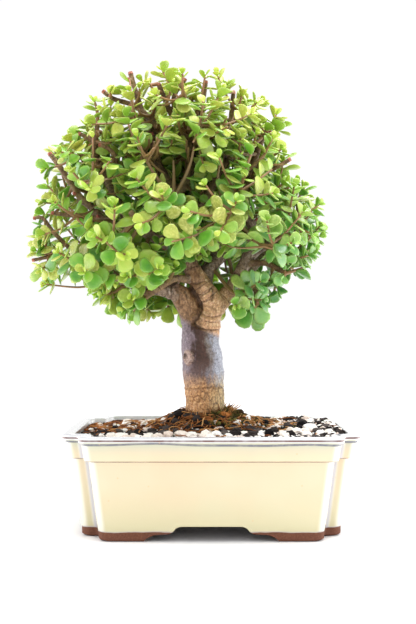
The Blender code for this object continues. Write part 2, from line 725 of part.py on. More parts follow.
def extruded(name, outline, depth, along_x, group):
    """Cutter of one outline, drawn in x and height and pushed through along y, or turned to run along x"""
    shape = bmesh.new()
    corners = [shape.verts.new((x, -depth / 2, z)) for x, z in outline]
    face = shape.faces.new(corners)
    pushed = bmesh.ops.extrude_face_region(shape, geom=[face])
    moved = [part for part in pushed["geom"] if isinstance(part, bmesh.types.BMVert)]
    bmesh.ops.translate(shape, vec=(0, depth, 0), verts=moved)
    if along_x:
        bmesh.ops.rotate(shape, cent=(0, 0, 0), matrix=Matrix.Rotation(math.pi / 2, 3, "Z"),
                         verts=shape.verts)
    bmesh.ops.translate(shape, vec=(0, POT_MIDDLE_Y, 0), verts=shape.verts)
    bmesh.ops.recalc_face_normals(shape, faces=shape.faces)
    return to_object(name, shape, group)


def foot_arch(half_wide):
    """Outline of the opening between two feet: an ogee, a ledge, a second ogee and a flat top"""
    side = (
        (half_wide, -2.0), (half_wide, 0.6), (half_wide - 3.0, 3.4), (half_wide - 8.5, 5.6),
        (half_wide - 22.0, 6.6), (half_wide - 25.0, 8.4), (half_wide - 27.5, 11.8),
        (half_wide - 31.0, 13.2),
    )
    return list(side) + [(-x, z) for x, z in side[::-1]]


def make_pot(group, cutters, clay):
    """One fired piece: notched belly, band and lip, four corner feet and two drain holes"""
    pot = to_object("pot", loft([notched_ring(*level) for level in pot_profile()]), group)
    recess = bmesh.new()
    bmesh.ops.create_cube(recess, size=1)
    wide = POT_LENGTH - 2 * (FOOT_INSET + FOOT_RING)
    deep = POT_DEPTH - 2 * (FOOT_INSET + FOOT_RING)
    bmesh.ops.scale(recess, vec=(wide, deep, 2 * FLOOR_UNDERSIDE), verts=recess.verts)
    bmesh.ops.translate(recess, vec=(0, POT_MIDDLE_Y, 0), verts=recess.verts)
    cut(pot, to_object("underside_cutter", recess, cutters))
    front_arch = foot_arch(FRONT_ARCH_HALF)
    cut(pot, extruded("front_arch_cutter", front_arch, POT_DEPTH * 1.2, False, cutters))
    side_arch = foot_arch(SIDE_ARCH_HALF)
    cut(pot, extruded("side_arch_cutter", side_arch, POT_LENGTH * 1.2, True, cutters))
    for side in (-1, 1):
        hole = bmesh.new()
        bmesh.ops.create_cone(hole, cap_ends=True, segments=16, radius1=DRAIN_RADIUS,
                              radius2=DRAIN_RADIUS, depth=FLOOR_TOP)
        bmesh.ops.translate(hole, vec=(side * DRAIN_APART / 2, POT_MIDDLE_Y, FLOOR_TOP), verts=hole.verts)
        cut(pot, to_object("drain_cutter", hole, cutters))
    apply_modifiers(pot)
    pot.data.materials.append(clay)
    return pot


def make_screens(group, plastic):
    """Two plastic mesh squares that lie on the pot's floor over the drain holes"""
    for side, name in ((-1, "drain_screen_left"), (1, "drain_screen_right")):
        shape = bmesh.new()
        bmesh.ops.create_grid(shape, x_segments=3, y_segments=3, size=SCREEN_SIZE / 2)
        holes = bmesh.ops.inset_individual(shape, faces=shape.faces, thickness=SCREEN_BAR / 2)
        inner = [face for face in shape.faces if face not in set(holes["faces"])]
        bmesh.ops.delete(shape, geom=inner, context="FACES")
        sheet = shape.faces[:]
        pushed = bmesh.ops.extrude_face_region(shape, geom=sheet, use_keep_orig=True)
        moved = [part for part in pushed["geom"] if isinstance(part, bmesh.types.BMVert)]
        bmesh.ops.translate(shape, vec=(0, 0, SCREEN_THICK), verts=moved)
        bmesh.ops.recalc_face_normals(shape, faces=shape.faces)
        bmesh.ops.translate(shape, vec=(side * DRAIN_APART / 2, POT_MIDDLE_Y, FLOOR_TOP + GAP),
                            verts=shape.verts)
        screen = to_object(name, shape, group)
        screen.data.materials.append(plastic)


# Soil

def soil_height(x, y):
    """Height of the soil: near the rim's level, raised in a mound round the trunk"""
    away = math.hypot(x - TRUNK_X, y * 1.1)
    mound = MOUND_RISE * math.exp(-((away / MOUND_SPREAD) ** 2))
    slope = SOIL_SLOPE * (2 * x / POT_LENGTH - max(0, y - POT_MIDDLE_Y) / POT_DEPTH)
    return SOIL_EDGE + slope + mound


def main_grains():
    """The soil's largest grains: place, radius, flatness and turn of each, well apart"""
    draw = random.Random(5)
    found = []
    while len(found) < MAIN_GRAINS:
        x = draw.uniform(-1, 1) * GRAIN_FARTHEST[0]
        y = POT_MIDDLE_Y + draw.uniform(-1, 1) * GRAIN_FARTHEST[1]
        radius = draw.uniform(*MAIN_GRAIN_RADII)
        flat = draw.uniform(*GRAIN_FLATNESS)
        turn = draw.uniform(0, math.tau)
        apart = min((math.hypot(x - grain[0], y - grain[1]) for grain in found), default=math.inf)
        if apart > GRAIN_APART and math.hypot(x - TRUNK_X, y) > GRAIN_CLEAR:
            found.append((x, y, radius, flat, turn))
    return found


def make_soil(group, cutters, earth):
    """Gritty soil that fills the pot, with its largest grains, and a plain hole for the trunk"""
    draw = random.Random(5)
    shape = bmesh.new()
    bmesh.ops.create_grid(shape, x_segments=SOIL_CELLS[0], y_segments=SOIL_CELLS[1], size=1)
    for corner in shape.verts:
        x = corner.co.x * POT_LENGTH / 2
        y = POT_MIDDLE_Y + corner.co.y * POT_DEPTH / 2
        corner.co = (x, y, soil_height(x, y) + draw.uniform(-GRIT_RELIEF, GRIT_RELIEF))
    rim = [edge for edge in shape.edges if edge.is_boundary]
    skirt = bmesh.ops.extrude_edge_only(shape, edges=rim)["geom"]
    hem = [part for part in skirt if isinstance(part, bmesh.types.BMVert)]
    for corner in hem:
        corner.co.z = FLOOR_TOP / 2
    edges = [part for part in skirt if isinstance(part, bmesh.types.BMEdge)]
    bmesh.ops.contextual_create(shape, geom=edges)
    bmesh.ops.recalc_face_normals(shape, faces=shape.faces)
    soil = to_object("soil", shape, group)
    grains = []
    for x, y, radius, flat, turn in main_grains():
        grain = bmesh.new()
        bmesh.ops.create_icosphere(grain, subdivisions=1, radius=radius)
        bmesh.ops.scale(grain, vec=(1.2, 1, flat), verts=grain.verts)
        bmesh.ops.rotate(grain, cent=(0, 0, 0), matrix=Matrix.Rotation(turn, 3, "Z"), verts=grain.verts)
        bmesh.ops.translate(grain, vec=(x, y, soil_height(x, y)), verts=grain.verts)
        grains.append(to_object("grain", grain, group))
    join_into(soil, grains, "EXACT")
    wall_gap = 2 * GAP
    filling = (
        (INNER_FOOT_INSET + 4.4, FLOOR_TOP + GAP),
        (INNER_FOOT_INSET + wall_gap, INNER_FOOT + 0.5),
        (INNER_RIM_INSET + wall_gap, POT_HEIGHT - INNER_EDGE_DROP),
        (INNER_RIM_INSET + wall_gap, POT_HEIGHT + 60),
    )
    inside = loft([notched_ring(*level) for level in filling])
    cut(soil, to_object("filling_cutter", inside, cutters), "INTERSECT")
    hole = bmesh.new()
    hole_radius = TRUNK_RADIUS + TRUNK_HOLE_GAP
    bmesh.ops.create_cone(hole, cap_ends=True, segments=24, radius1=hole_radius, radius2=hole_radius,
                          depth=POT_HEIGHT)
    bmesh.ops.translate(hole, vec=(TRUNK_X, 0, TRUNK_FOOT - GAP + POT_HEIGHT / 2), verts=hole.verts)
    cut(soil, to_object("trunk_hole_cutter", hole, cutters))
    for side in (-1, 1):
        pocket = bmesh.new()
        bmesh.ops.create_cube(pocket, size=1)
        tall = 2 * (SCREEN_THICK + 2 * GAP)
        bmesh.ops.scale(pocket, vec=(SCREEN_SIZE + 1, SCREEN_SIZE + 1, tall), verts=pocket.verts)
        bmesh.ops.translate(pocket, vec=(side * DRAIN_APART / 2, POT_MIDDLE_Y, FLOOR_TOP),
                            verts=pocket.verts)
        cut(soil, to_object("screen_pocket_cutter", pocket, cutters))
    apply_modifiers(soil)
    soil.data.materials.append(earth)
    return soil


# Wood

def trunk_profile():
    """The trunk's line with more points, swollen a little at each ring"""
    places, radii = [], []
    ringed = {ring + step for ring in TRUNK_RINGS for step in (-1.6, 0, 1.6)}
    for height in sorted({point[2] for point in TRUNK_LINE} | ringed):
        for low, high in zip(TRUNK_LINE, TRUNK_LINE[1:]):
            if low[2] <= height <= high[2]:
                share = (height - low[2]) / (high[2] - low[2])
                places.append(Vector([low[i] + (high[i] - low[i]) * share for i in range(3)]))
                swell = RING_SWELL if height in TRUNK_RINGS else 0.0
                radii.append(low[3] + (high[3] - low[3]) * share + swell)
                break
    return places, radii


def knot_object(group):
    """Scar of a cut branch on the trunk's front left: a raised ring with a hollow in it"""
    shape = bmesh.new()
    bmesh.ops.create_cone(shape, cap_ends=True, segments=12, radius1=KNOT_RADII[0],
                          radius2=KNOT_RADII[1], depth=KNOT_HEIGHT)
    cap = max(shape.faces, key=lambda face: face.calc_center_median().z)
    bmesh.ops.inset_region(shape, faces=[cap], thickness=KNOT_LIP)
    bmesh.ops.translate(shape, vec=(0, 0, -KNOT_LIP), verts=cap.verts)
    facing = Vector(KNOT_FACING).to_track_quat("Z", "Y").to_matrix()
    bmesh.ops.rotate(shape, cent=(0, 0, 0), matrix=facing, verts=shape.verts)
    bmesh.ops.translate(shape, vec=KNOT_PLACE, verts=shape.verts)
    return to_object("knot", shape, group)


def make_wood(group, bark):
    """Trunk and branches, grown as one piece"""
    places, radii = trunk_profile()
    wood = tube_object("trunk_and_branches", places, radii, 4, group)
    limbs = [knot_object(group)]
    for name, line in BRANCHES.items():
        fineness = 2 if line[0][3] > 9 else 1
        points = [Vector(point[:3]) for point in line]
        limbs.append(tube_object(name, points, [point[3] for point in line], fineness, group))
    join_into(wood, limbs, "EXACT")
    wood.data.materials.append(bark)
    return wood


# Sprays

def leaf_object(leaf, group):
    """One fleshy leaf of seven sides, thick in its middle and drawn out to its stalk"""
    shape = bmesh.new()
    bmesh.ops.create_uvsphere(shape, u_segments=7, v_segments=2, radius=1)
    for corner in shape.verts:
        corner.co = leaf_point(Vector((-corner.co.x, corner.co.y, corner.co.z)), leaf)
    bmesh.ops.transform(shape, matrix=leaf["place"], verts=shape.verts)
    bmesh.ops.recalc_face_normals(shape, faces=shape.faces)
    return to_object("leaf", shape, group)


def is_kept(leaf, last):
    """Pairs near the tips of the main twig and of the shoot farthest from it, at true size"""
    if leaf["shoot"] == 0:
        return leaf["rank"] == 1 or (leaf["rank"] == 3 and leaf["half"] == 0)
    return leaf["shoot"] == last and leaf["rank"] == 1


def seat_on_bark(twig, points, bark):
    """Draws a twig's end face in along the twig's own line until it all but touches the bark"""
    middle = (points[0] + FRAME_SHIFT) * MM
    inward = (points[0] - points[1]).normalized() * SEAT_STEP * MM
    reach = 1.1 * TWIG_RADII[0] * MM
    ring = [corner for corner in twig.data.vertices if (corner.co - middle).length < reach]
    for step in range(SEAT_STEPS):
        between = [(a.co + b.co) / 2 for a in ring for b in ring]
        if min(bark.find_nearest(place)[3] for place in between) < 1.5 * GAP * MM:
            break
        for corner in ring:
            corner.co += inward


def make_sprays(group, wood, green):
    """A node for each spray: its twigs and leaves joined in one solid"""
    faces = [face.vertices for face in wood.data.polygons]
    bark = BVHTree.FromPolygons([corner.co for corner in wood.data.vertices], faces)
    for number, spray in enumerate(grow_crown(), 1):
        last = len(spray["twigs"]) - 1
        kept = spray["twigs"][:1] + spray["twigs"][1:][-1:]
        twigs = [tube_object("twig", *twig, 0, group) for twig in kept]
        seat_on_bark(twigs[0], kept[0][0], bark)
        leaves = [leaf_object(leaf, group) for leaf in spray["leaves"] if is_kept(leaf, last)]
        solid = twigs[0]
        solid.name = "spray_%02d" % number
        join_into(solid, twigs[1:] + leaves, "EXACT")
        solid.data.materials.append(green)


def main():
    clear_scene()
    group = new_collection("elephant_bush_bonsai")
    cutters = new_collection("cutters")
    make_pot(group, cutters, surface("cream_glaze", (0.84, 0.75, 0.52), 0.2))
    make_screens(group, surface("black_plastic", (0.02, 0.02, 0.02), 0.6))
    make_soil(group, cutters, surface("gritty_soil", (0.05, 0.04, 0.035), 0.95))
    wood = make_wood(group, surface("bark", (0.16, 0.11, 0.08), 0.85))
    make_sprays(group, wood, surface("leaf_green", (0.18, 0.36, 0.05), 0.4))
    for cutter in list(cutters.objects):
        bpy.data.objects.remove(cutter)


main()
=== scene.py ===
"""Looks of an elephant bush bonsai in its glazed pot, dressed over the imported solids."""
import json
import math
import random

import bmesh
import bpy
import numpy
from mathutils import Matrix, Vector, noise
from mathutils.bvhtree import BVHTree

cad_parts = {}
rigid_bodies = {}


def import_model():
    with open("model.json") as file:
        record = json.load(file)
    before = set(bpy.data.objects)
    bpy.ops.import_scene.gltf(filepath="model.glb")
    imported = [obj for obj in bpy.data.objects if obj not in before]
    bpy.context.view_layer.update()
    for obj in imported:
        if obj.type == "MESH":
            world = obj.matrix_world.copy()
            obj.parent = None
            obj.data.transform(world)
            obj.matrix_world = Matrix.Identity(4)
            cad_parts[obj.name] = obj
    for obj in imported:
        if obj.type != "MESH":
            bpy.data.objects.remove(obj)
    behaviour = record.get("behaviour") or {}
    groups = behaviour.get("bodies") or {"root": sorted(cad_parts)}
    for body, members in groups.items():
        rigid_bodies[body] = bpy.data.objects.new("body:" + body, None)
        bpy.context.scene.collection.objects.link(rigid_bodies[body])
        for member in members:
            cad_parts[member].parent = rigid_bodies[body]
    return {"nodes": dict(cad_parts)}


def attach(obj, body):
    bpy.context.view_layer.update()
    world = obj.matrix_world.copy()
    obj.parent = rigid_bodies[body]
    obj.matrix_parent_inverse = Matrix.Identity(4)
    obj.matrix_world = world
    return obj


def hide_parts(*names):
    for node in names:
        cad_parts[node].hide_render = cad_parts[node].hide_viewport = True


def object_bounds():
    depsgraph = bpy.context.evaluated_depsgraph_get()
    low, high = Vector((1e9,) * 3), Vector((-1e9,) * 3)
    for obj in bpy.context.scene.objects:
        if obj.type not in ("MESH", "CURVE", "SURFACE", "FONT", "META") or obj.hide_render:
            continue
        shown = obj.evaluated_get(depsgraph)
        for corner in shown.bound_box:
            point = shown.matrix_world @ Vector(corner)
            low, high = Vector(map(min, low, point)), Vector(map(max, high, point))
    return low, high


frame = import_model()
solid_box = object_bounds()


# Pot
# The real pot is one piece of stoneware clay, pressed in a mould. It is glazed cream inside and out and
# fired standing on its bare feet, so that brown clay shows below the glaze. Its plan is a rectangle
# whose corners step inwards.

# Shapes are drawn in millimetres round a point near the pot's middle and then moved to the frame
MM = 0.001
SHIFT = Vector((19.0, -5.0, 0.0))

POT_LENGTH, POT_DEPTH, POT_MIDDLE_Y = 258.0, 196.0, 5.0
FOOT_INSET, FOOT_RING, FOOT_HEIGHT = 18.0, 14.0, 8.0
BELLY_TOP = 69.0
NOTCH_ALONG, NOTCH_DEEP, NOTCH_RADIUS, CORNER_RADIUS = 17.0, 22.0, 6.5, 9.0
FLOOR_UNDERSIDE, FLOOR_TOP = 14.0, 20.0
DRAIN_RADIUS, DRAIN_APART = 7.5, 92.0
FRONT_ARCH_HALF, SIDE_ARCH_HALF = 57.5, 38.0

# How far in from the rim's outline, and how high, each ring of the pot lies: up the outside, over the
# lip and down the inside
POT_PROFILE = (
    (17.2, 0.5), (16.0, 1.6), (15.7, 3.0), (15.7, 7.2), (15.4, 8.0), (15.0, 8.7), (14.2, 15), (11.2, 40),
    (8.1, 66), (7.6, 68.2), (6.9, 68.7), (5.2, 69), (4.7, 69.3), (4.4, 70.2), (3.3, 77), (2.3, 83),
    (2.2, 83.8), (1.6, 84.4), (0.5, 84.9), (0.1, 85.6), (0, 86.4), (0, 88), (0.25, 89), (0.9, 89.7),
    (1.9, 90), (7.6, 90), (8.9, 89.8), (9.7, 89.2), (10.1, 88.2), (18, 24), (19, 21.4), (21.5, 20),
)
# Half of the opening between two feet, from its end inwards: an ogee, a ledge, a second ogee, a flat top
ARCH_SIDE = ((0, -3), (0, 0.4), (3.4, 3.6), (9, 5.9), (22, 6.6), (25, 8.6), (27.5, 11.8), (31, 13.2))
QUARTERS = ((1, 1), (-1, 1), (-1, -1), (1, -1))


def linear(code):
    """Turns a colour written as sRGB hex into the linear values that shaders take"""
    parts = [int(code[place:place + 2], 16) / 255 for place in (1, 3, 5)]
    return [part / 12.92 if part <= 0.04045 else ((part + 0.055) / 1.055) ** 2.4 for part in parts] + [1.0]


def fill(made, inputs):
    """Sets the inputs of a node, or links those whose value is an output of another"""
    for key, value in inputs.items():
        if isinstance(value, bpy.types.NodeSocket):
            made.id_data.links.new(value, made.inputs[key])
        else:
            made.inputs[key].default_value = value


def node(material, kind, inputs=(), out=None, stops=(), **settings):
    """Adds a node with its options, its inputs by name or in their order and its colour stops, and gives
    the output that is asked for, or else the first one in use"""
    made = material.node_tree.nodes.new("ShaderNode" + kind)
    for name, value in settings.items():
        setattr(made, name, value)
    fill(made, inputs if isinstance(inputs, dict) else dict(enumerate(inputs)))
    if stops:
        elements = made.color_ramp.elements
        while len(elements) < len(stops):
            elements.new(0.5)
        for element, (place, code) in zip(elements, stops):
            element.position = place
            element.color = linear(code)
    return made.outputs[out] if out else next(output for output in made.outputs if output.enabled)


def layered(material, colour, *layers):
    """Lays colours over a colour, one after another. Each layer is its share, or what its share reads,
    where it starts and is full, and its least and most, and then its colour or the colour's hex code"""
    for share, over in layers:
        if isinstance(share, tuple):
            share = node(material, "MapRange", share)
        over = linear(over) if isinstance(over, str) else over
        colour = node(material, "Mix", {0: share, 6: colour, 7: over}, data_type="RGBA")
    return colour


def new_finish(name):
    """Starts a material and returns it with its place on the piece in millimetres"""
    material = bpy.data.materials.new(name)
    material.use_nodes = True
    where = node(material, "TexCoord", out="Object")
    return material, node(material, "VectorMath", {0: where, "Scale": 1 / MM}, operation="SCALE")


def finished(material, inputs, relief=None, strength=0.0, rise=0.0):
    """Sets or links the inputs of a material's shader, and its relief, which rises some millimetres"""
    if relief:
        heights = {"Height": relief, "Strength": strength, "Distance": rise * MM}
        inputs["Normal"] = node(material, "Bump", heights)
    fill(material.node_tree.nodes["Principled BSDF"], inputs)
    return material


def placed(name, data):
    """Puts an object with its data into the scene"""
    thing = bpy.data.objects.new(name, data)
    bpy.context.scene.collection.objects.link(thing)
    return thing


def meshed(name, shape):
    """Turns a bmesh into a mesh and frees it"""
    mesh = bpy.data.meshes.new(name)
    shape.to_mesh(mesh)
    shape.free()
    return mesh


def piece(name, shape, finish, slot, *stood_for, sharp=None):
    """Turns a bmesh in millimetres into a finished piece of the plant"""
    bmesh.ops.translate(shape, vec=SHIFT, verts=shape.verts)
    bmesh.ops.scale(shape, vec=(MM, MM, MM), verts=shape.verts)
    mesh = meshed(name, shape)
    mesh.materials.append(finish)
    if sharp:
        mesh.shade_smooth()
        mesh.set_sharp_from_angle(angle=math.radians(sharp))
    thing = placed(name, mesh)
    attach(thing, "root")
    if stood_for:
        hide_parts(*stood_for)


def taken(thing):
    """Takes an object's shape, as its modifiers make it, as a bmesh, and removes the object"""
    bpy.context.view_layer.update()
    shape = bmesh.new()
    shape.from_mesh(thing.evaluated_get(bpy.context.evaluated_depsgraph_get()).to_mesh())
    bpy.data.batch_remove((thing, thing.data))
    return shape


def carve(shape, cutters):
    """Cuts closed shapes out of another"""
    body = placed("body", meshed("body", shape))
    holders = [placed("cutter", meshed("cutter", cutter)) for cutter in cutters]
    for holder in holders:
        cut = body.modifiers.new("cut", "BOOLEAN")
        cut.operation, cut.object, cut.solver = "DIFFERENCE", holder, "EXACT"
    carved = taken(body)
    bpy.data.batch_remove(holders)
    return carved


def rounded(shape, corners, radius, segments):
    """Rounds corners of a flat face"""
    bmesh.ops.bevel(shape, geom=corners, offset=radius, segments=segments, profile=0.5,
                    affect="VERTICES", material=-1)


def pot_walls():
    """The pot from its soles up: one face with rounded corners, pushed up through the profile's rings"""
    shape = bmesh.new()
    half_x, half_y = POT_LENGTH / 2 - FOOT_INSET, POT_DEPTH / 2 - FOOT_INSET
    quarter = ((half_x, half_y - NOTCH_DEEP), (half_x - NOTCH_ALONG, half_y - NOTCH_DEEP),
               (half_x - NOTCH_ALONG, half_y))
    sole = []
    for side_x, side_y in QUARTERS:
        corners = quarter if side_x == side_y else quarter[::-1]
        sole += [shape.verts.new((side_x * x, side_y * y, 0)) for x, y in corners]
    shape.faces.new(sole)
    rounded(shape, sole[0::3] + sole[2::3], CORNER_RADIUS, 6)
    rounded(shape, sole[1::3], NOTCH_RADIUS, 6)
    top = shape.faces[:][0]
    inset_now, height_now = FOOT_INSET, 0.0
    for inset, height in POT_PROFILE:
        below = top
        pushed = bmesh.ops.extrude_face_region(shape, geom=[top])["geom"]
        top = next(part for part in pushed if isinstance(part, bmesh.types.BMFace))
        if height_now > 0:
            bmesh.ops.delete(shape, geom=[below], context="FACES_ONLY")
        for side_x, side_y in QUARTERS:
            corners = [corner for corner in top.verts
                       if corner.co.x * side_x > 0 and corner.co.y * side_y > 0]
            inward = inset - inset_now
            bmesh.ops.translate(shape, vec=(-side_x * inward, -side_y * inward, height - height_now),
                                verts=corners)
        inset_now, height_now = inset, height
    bmesh.ops.recalc_face_normals(shape, faces=shape.faces)
    bmesh.ops.translate(shape, vec=(0, POT_MIDDLE_Y, 0), verts=shape.verts)
    return shape


def arch_cutter(half_wide, reach, turned):
    """Opening between two feet, pushed right through the pot"""
    shape = bmesh.new()
    outline = [(half_wide - x, z) for x, z in ARCH_SIDE] + [(x - half_wide, z) for x, z in ARCH_SIDE[::-1]]
    corners = [shape.verts.new((x, -reach, z)) for x, z in outline]
    shape.faces.new(corners)
    rounded(shape, corners[1:-1], 1.1, 3)
    pushed = bmesh.ops.extrude_face_region(shape, geom=shape.faces[:])["geom"]
    bmesh.ops.translate(shape, vec=(0, 2 * reach, 0),
                        verts=[part for part in pushed if isinstance(part, bmesh.types.BMVert)])
    bmesh.ops.rotate(shape, cent=(0, 0, 0), matrix=Matrix.Rotation(turned, 3, "Z"), verts=shape.verts)
    bmesh.ops.translate(shape, vec=(0, POT_MIDDLE_Y, 0), verts=shape.verts)
    bmesh.ops.recalc_face_normals(shape, faces=shape.faces)
    return shape


def pot_cutters():
    """Everything that is cut from under the pot: the hollow inside the feet, arches and drain holes"""
    recess = bmesh.new()
    bmesh.ops.create_cube(recess, size=1)
    ring = 2 * (FOOT_INSET + FOOT_RING)
    bmesh.ops.scale(recess, vec=(POT_LENGTH - ring, POT_DEPTH - ring, 2 * FLOOR_UNDERSIDE),
                    verts=recess.verts)
    bmesh.ops.translate(recess, vec=(0, POT_MIDDLE_Y, 0), verts=recess.verts)
    made = [recess, arch_cutter(FRONT_ARCH_HALF, 0.6 * POT_DEPTH, 0),
            arch_cutter(SIDE_ARCH_HALF, 0.6 * POT_LENGTH, math.pi / 2)]
    for side in (-1, 1):
        drain = bmesh.new()
        bmesh.ops.create_cone(drain, cap_ends=True, segments=32, radius1=DRAIN_RADIUS,
                              radius2=DRAIN_RADIUS, depth=FLOOR_TOP)
        bmesh.ops.translate(drain, vec=(side * DRAIN_APART / 2, POT_MIDDLE_Y, FLOOR_TOP),
                            verts=drain.verts)
        made.append(drain)
    return made


def cream_glaze():
    """Glossy cream feldspar glaze over brown stoneware, fired: deep and even on the walls, thin and
    brown where it breaks over an edge, blue-grey where it pools under the lip with painted shadow
    there, bare clay at the feet; painted highlights on the lip and corners, painted shade in the
    notches, on the sideways faces and on the clay under the pot"""
    glaze, place = new_finish("fired_cream_glaze")
    height = node(glaze, "SeparateXYZ", [place], out="Z")
    normal = node(glaze, "NewGeometry", out="Normal")
    across, back, up = (node(glaze, "SeparateXYZ", [normal], out=axis) for axis in "XYZ")
    waver = node(glaze, "TexNoise", {"Vector": place, "Scale": 0.045, "Detail": 3.0})
    wavy = node(glaze, "Math", (height, node(glaze, "MapRange", (waver, 0, 1, -1.6, 1.6))))
    cloud = node(glaze, "TexNoise", {"Vector": place, "Scale": 0.016, "Detail": 2.0})
    body = node(glaze, "ValToRGB", [cloud], stops=((0.3, "#d8c09f"), (0.5, "#d8c4a2"), (0.7, "#d4c8a8")))
    # Painted highlight, paler, where the wall turns a corner, and painted shade, bluish grey, on the part
    # that faces sideways
    turning = node(glaze, "Math", (across, back), operation="MULTIPLY")
    turning = node(glaze, "Math", [turning], operation="ABSOLUTE")
    corner = node(glaze, "MapRange", (turning, 0.1, 0.42, 0, 0.7), interpolation_type="SMOOTHSTEP")
    sideways = node(glaze, "Math", [across], operation="ABSOLUTE")
    # How far it is, squared, to the inner corner of a notch, where painted shade darkens the glaze
    middle = (SHIFT.x, SHIFT.y + POT_MIDDLE_Y, 0)
    from_middle = node(glaze, "VectorMath", (place, middle), operation="SUBTRACT")
    flat = node(glaze, "VectorMath", [from_middle], operation="ABSOLUTE")
    taper = node(glaze, "MapRange", (height, 0, 100, 16, 4))
    banded = node(glaze, "Math", (height, BELLY_TOP), operation="GREATER_THAN")
    step = node(glaze, "Math", (banded, -3.4, taper), operation="MULTIPLY_ADD")
    squares = []
    for axis, half in (("X", POT_LENGTH / 2 - NOTCH_ALONG), ("Y", POT_DEPTH / 2 - NOTCH_DEEP)):
        inside = node(glaze, "Math", (node(glaze, "SeparateXYZ", [flat], out=axis), step))
        gone = node(glaze, "Math", (inside, half), operation="SUBTRACT")
        squares.append(node(glaze, "Math", (gone, 2), operation="POWER"))
    apart = node(glaze, "Math", squares)
    # Nearly white over the lip, as a painted highlight on its rounded top, and on the inside as far as the
    # soil
    level_way = node(glaze, "VectorMath", (from_middle, (1, 1, 0)), operation="MULTIPLY")
    outward = node(glaze, "VectorMath", (level_way, normal), operation="DOT_PRODUCT")
    outside = node(glaze, "Math", (outward, -1), operation="GREATER_THAN")
    within = node(glaze, "Math", (outside, -0.9, 0.9), operation="MULTIPLY_ADD")
    lip = node(glaze, "MapRange", (height, 85.3, 86.3, 0, 0.9))
    white = node(glaze, "Math", (lip, within), operation="MAXIMUM")
    # Lines where the glaze stopped or broke, and under the lip a painted shadow over pooled glaze, which
    # swings slowly up and down
    swing = node(glaze, "TexNoise", {"Vector": place, "Scale": 0.011, "Detail": 1.0})
    slow = node(glaze, "Math", (height, node(glaze, "MapRange", (swing, 0.3, 0.7, -1.3, 1.3))))
    gaps = node(glaze, "TexNoise", {"Vector": place, "Scale": 0.11, "Detail": 4.0})
    kept = node(glaze, "MapRange", (gaps, 0.3, 0.55, 0.7, 1))
    kept = node(glaze, "Math", (kept, outside), operation="MULTIPLY")
    lines = []
    # What each line follows, its height, half width, strength and colour
    for follows, level, half, strength, code in (
        # The second row, blue-grey, is the painted shadow under the lip
        (height, 69.0, 0.9, 1.0, "#6a4640"), (slow, 84.1, 1.5, 0.95, "#595b6b"),
        (height, 87.2, 1.2, 1.0, "#66403a"), (height, 89.7, 0.5, 0.6, "#9a96a4"),
    ):
        away = node(glaze, "Math", (follows, level), operation="SUBTRACT")
        away = node(glaze, "Math", [away], operation="ABSOLUTE")
        line = node(glaze, "MapRange", (away, half, half * 0.3, 0, strength),
                    interpolation_type="SMOOTHSTEP")
        lines.append((node(glaze, "Math", (line, kept), operation="MULTIPLY"), code))
    # Rust-coloured specks of iron, about a millimetre wide
    specks = node(glaze, "TexVoronoi", {"Vector": place, "Scale": 0.07})
    # Bare clay below the glaze line and on everything that faces down under the pot, darkened there by
    # painted shade
    foot = node(glaze, "MapRange", (wavy, FOOT_HEIGHT + 0.35, FOOT_HEIGHT))
    down = node(glaze, "MapRange", (up, -0.75, -0.9))
    under = node(glaze, "MapRange", (height, 20, 18))
    hidden = node(glaze, "Math", (down, under), operation="MULTIPLY")
    bare = node(glaze, "Math", (foot, hidden), operation="MAXIMUM")
    grain = node(glaze, "TexNoise", {"Vector": place, "Scale": 1.1, "Detail": 6.0, "Roughness": 0.7})
    clay = node(glaze, "ValToRGB", [grain], stops=((0.3, "#54301f"), (0.55, "#6f422f"), (0.75, "#8d5c44")))
    coat = layered(
        glaze, body,
        # Greener and greyer towards the foot, where the glaze ran thick, and pale below the lip
        ((wavy, 52, 10), "#cac39c"), ((wavy, 74, 84.5, 0, 0.75), "#b4baa6"),
        # Painted highlight on the corners, and painted shade on the faces that turn sideways
        (corner, "#e6e4dc"), ((sideways, 0.72, 0.97, 0, 0.8), "#b4b09f"),
        # Painted shade in the inner corner of each notch
        ((apart, 26, 8, 0, 0.75), "#9d99a6"),
        # Painted highlight over the lip and the same near white inside, then the glaze lines
        (white, "#e1e3e8"), *lines, ((specks, 0.075, 0.03, 0, 0.35), "#d9a878"),
        ((wavy, FOOT_HEIGHT + 1.5, FOOT_HEIGHT + 0.3, 0, 0.7), "#a79aa6"),
        # Bare clay, darker brown as painted shade where it faces down under the pot
        (bare, layered(glaze, clay, (hidden, "#3b2a23"))),
    )
    # Slow waves that the glaze left in drying, and the clay's own fine grit
    ripple = node(glaze, "TexNoise", {"Vector": place, "Scale": 0.09, "Detail": 2.0})
    return finished(glaze, {
        "Base Color": coat, "Roughness": node(glaze, "MapRange", (bare, 0, 1, 0.14, 0.85)),
        "Coat Weight": node(glaze, "Math", (1, bare), operation="SUBTRACT"),
        "Coat IOR": 1.4, "Coat Roughness": 0.06,
    }, node(glaze, "Mix", {0: bare, 2: ripple, 3: grain}), 0.25, 0.4)


piece("stoneware_pot", carve(pot_walls(), pot_cutters()), cream_glaze(), "cream_glaze", "pot", sharp=38)


# Drain screens
# Two squares of moulded black polypropylene mesh that keep the grit in the pot. They lie on the pot's
# floor over its drain holes and are seen only from below.

# Black polypropylene as moulded: dull, with a film of grey dust
plastic, place = new_finish("moulded_black_polypropylene")
dust = node(plastic, "TexNoise", {"Vector": place, "Scale": 0.8, "Detail": 4.0})
worn = node(plastic, "ValToRGB", [dust], stops=((0.4, "#171716"), (0.7, "#34312c")))
finished(plastic, {"Base Color": worn, "Roughness": 0.55})
for name in ("drain_screen_left", "drain_screen_right"):
    for slot in frame["nodes"][name].material_slots:
        slot.material = plastic


# Soil
# A bonsai mix of crushed lava and pumice with bark and coir in it, heaped round the trunk. It is poured
# loose, so every grain lies its own way, with its lower part in the grains under it.

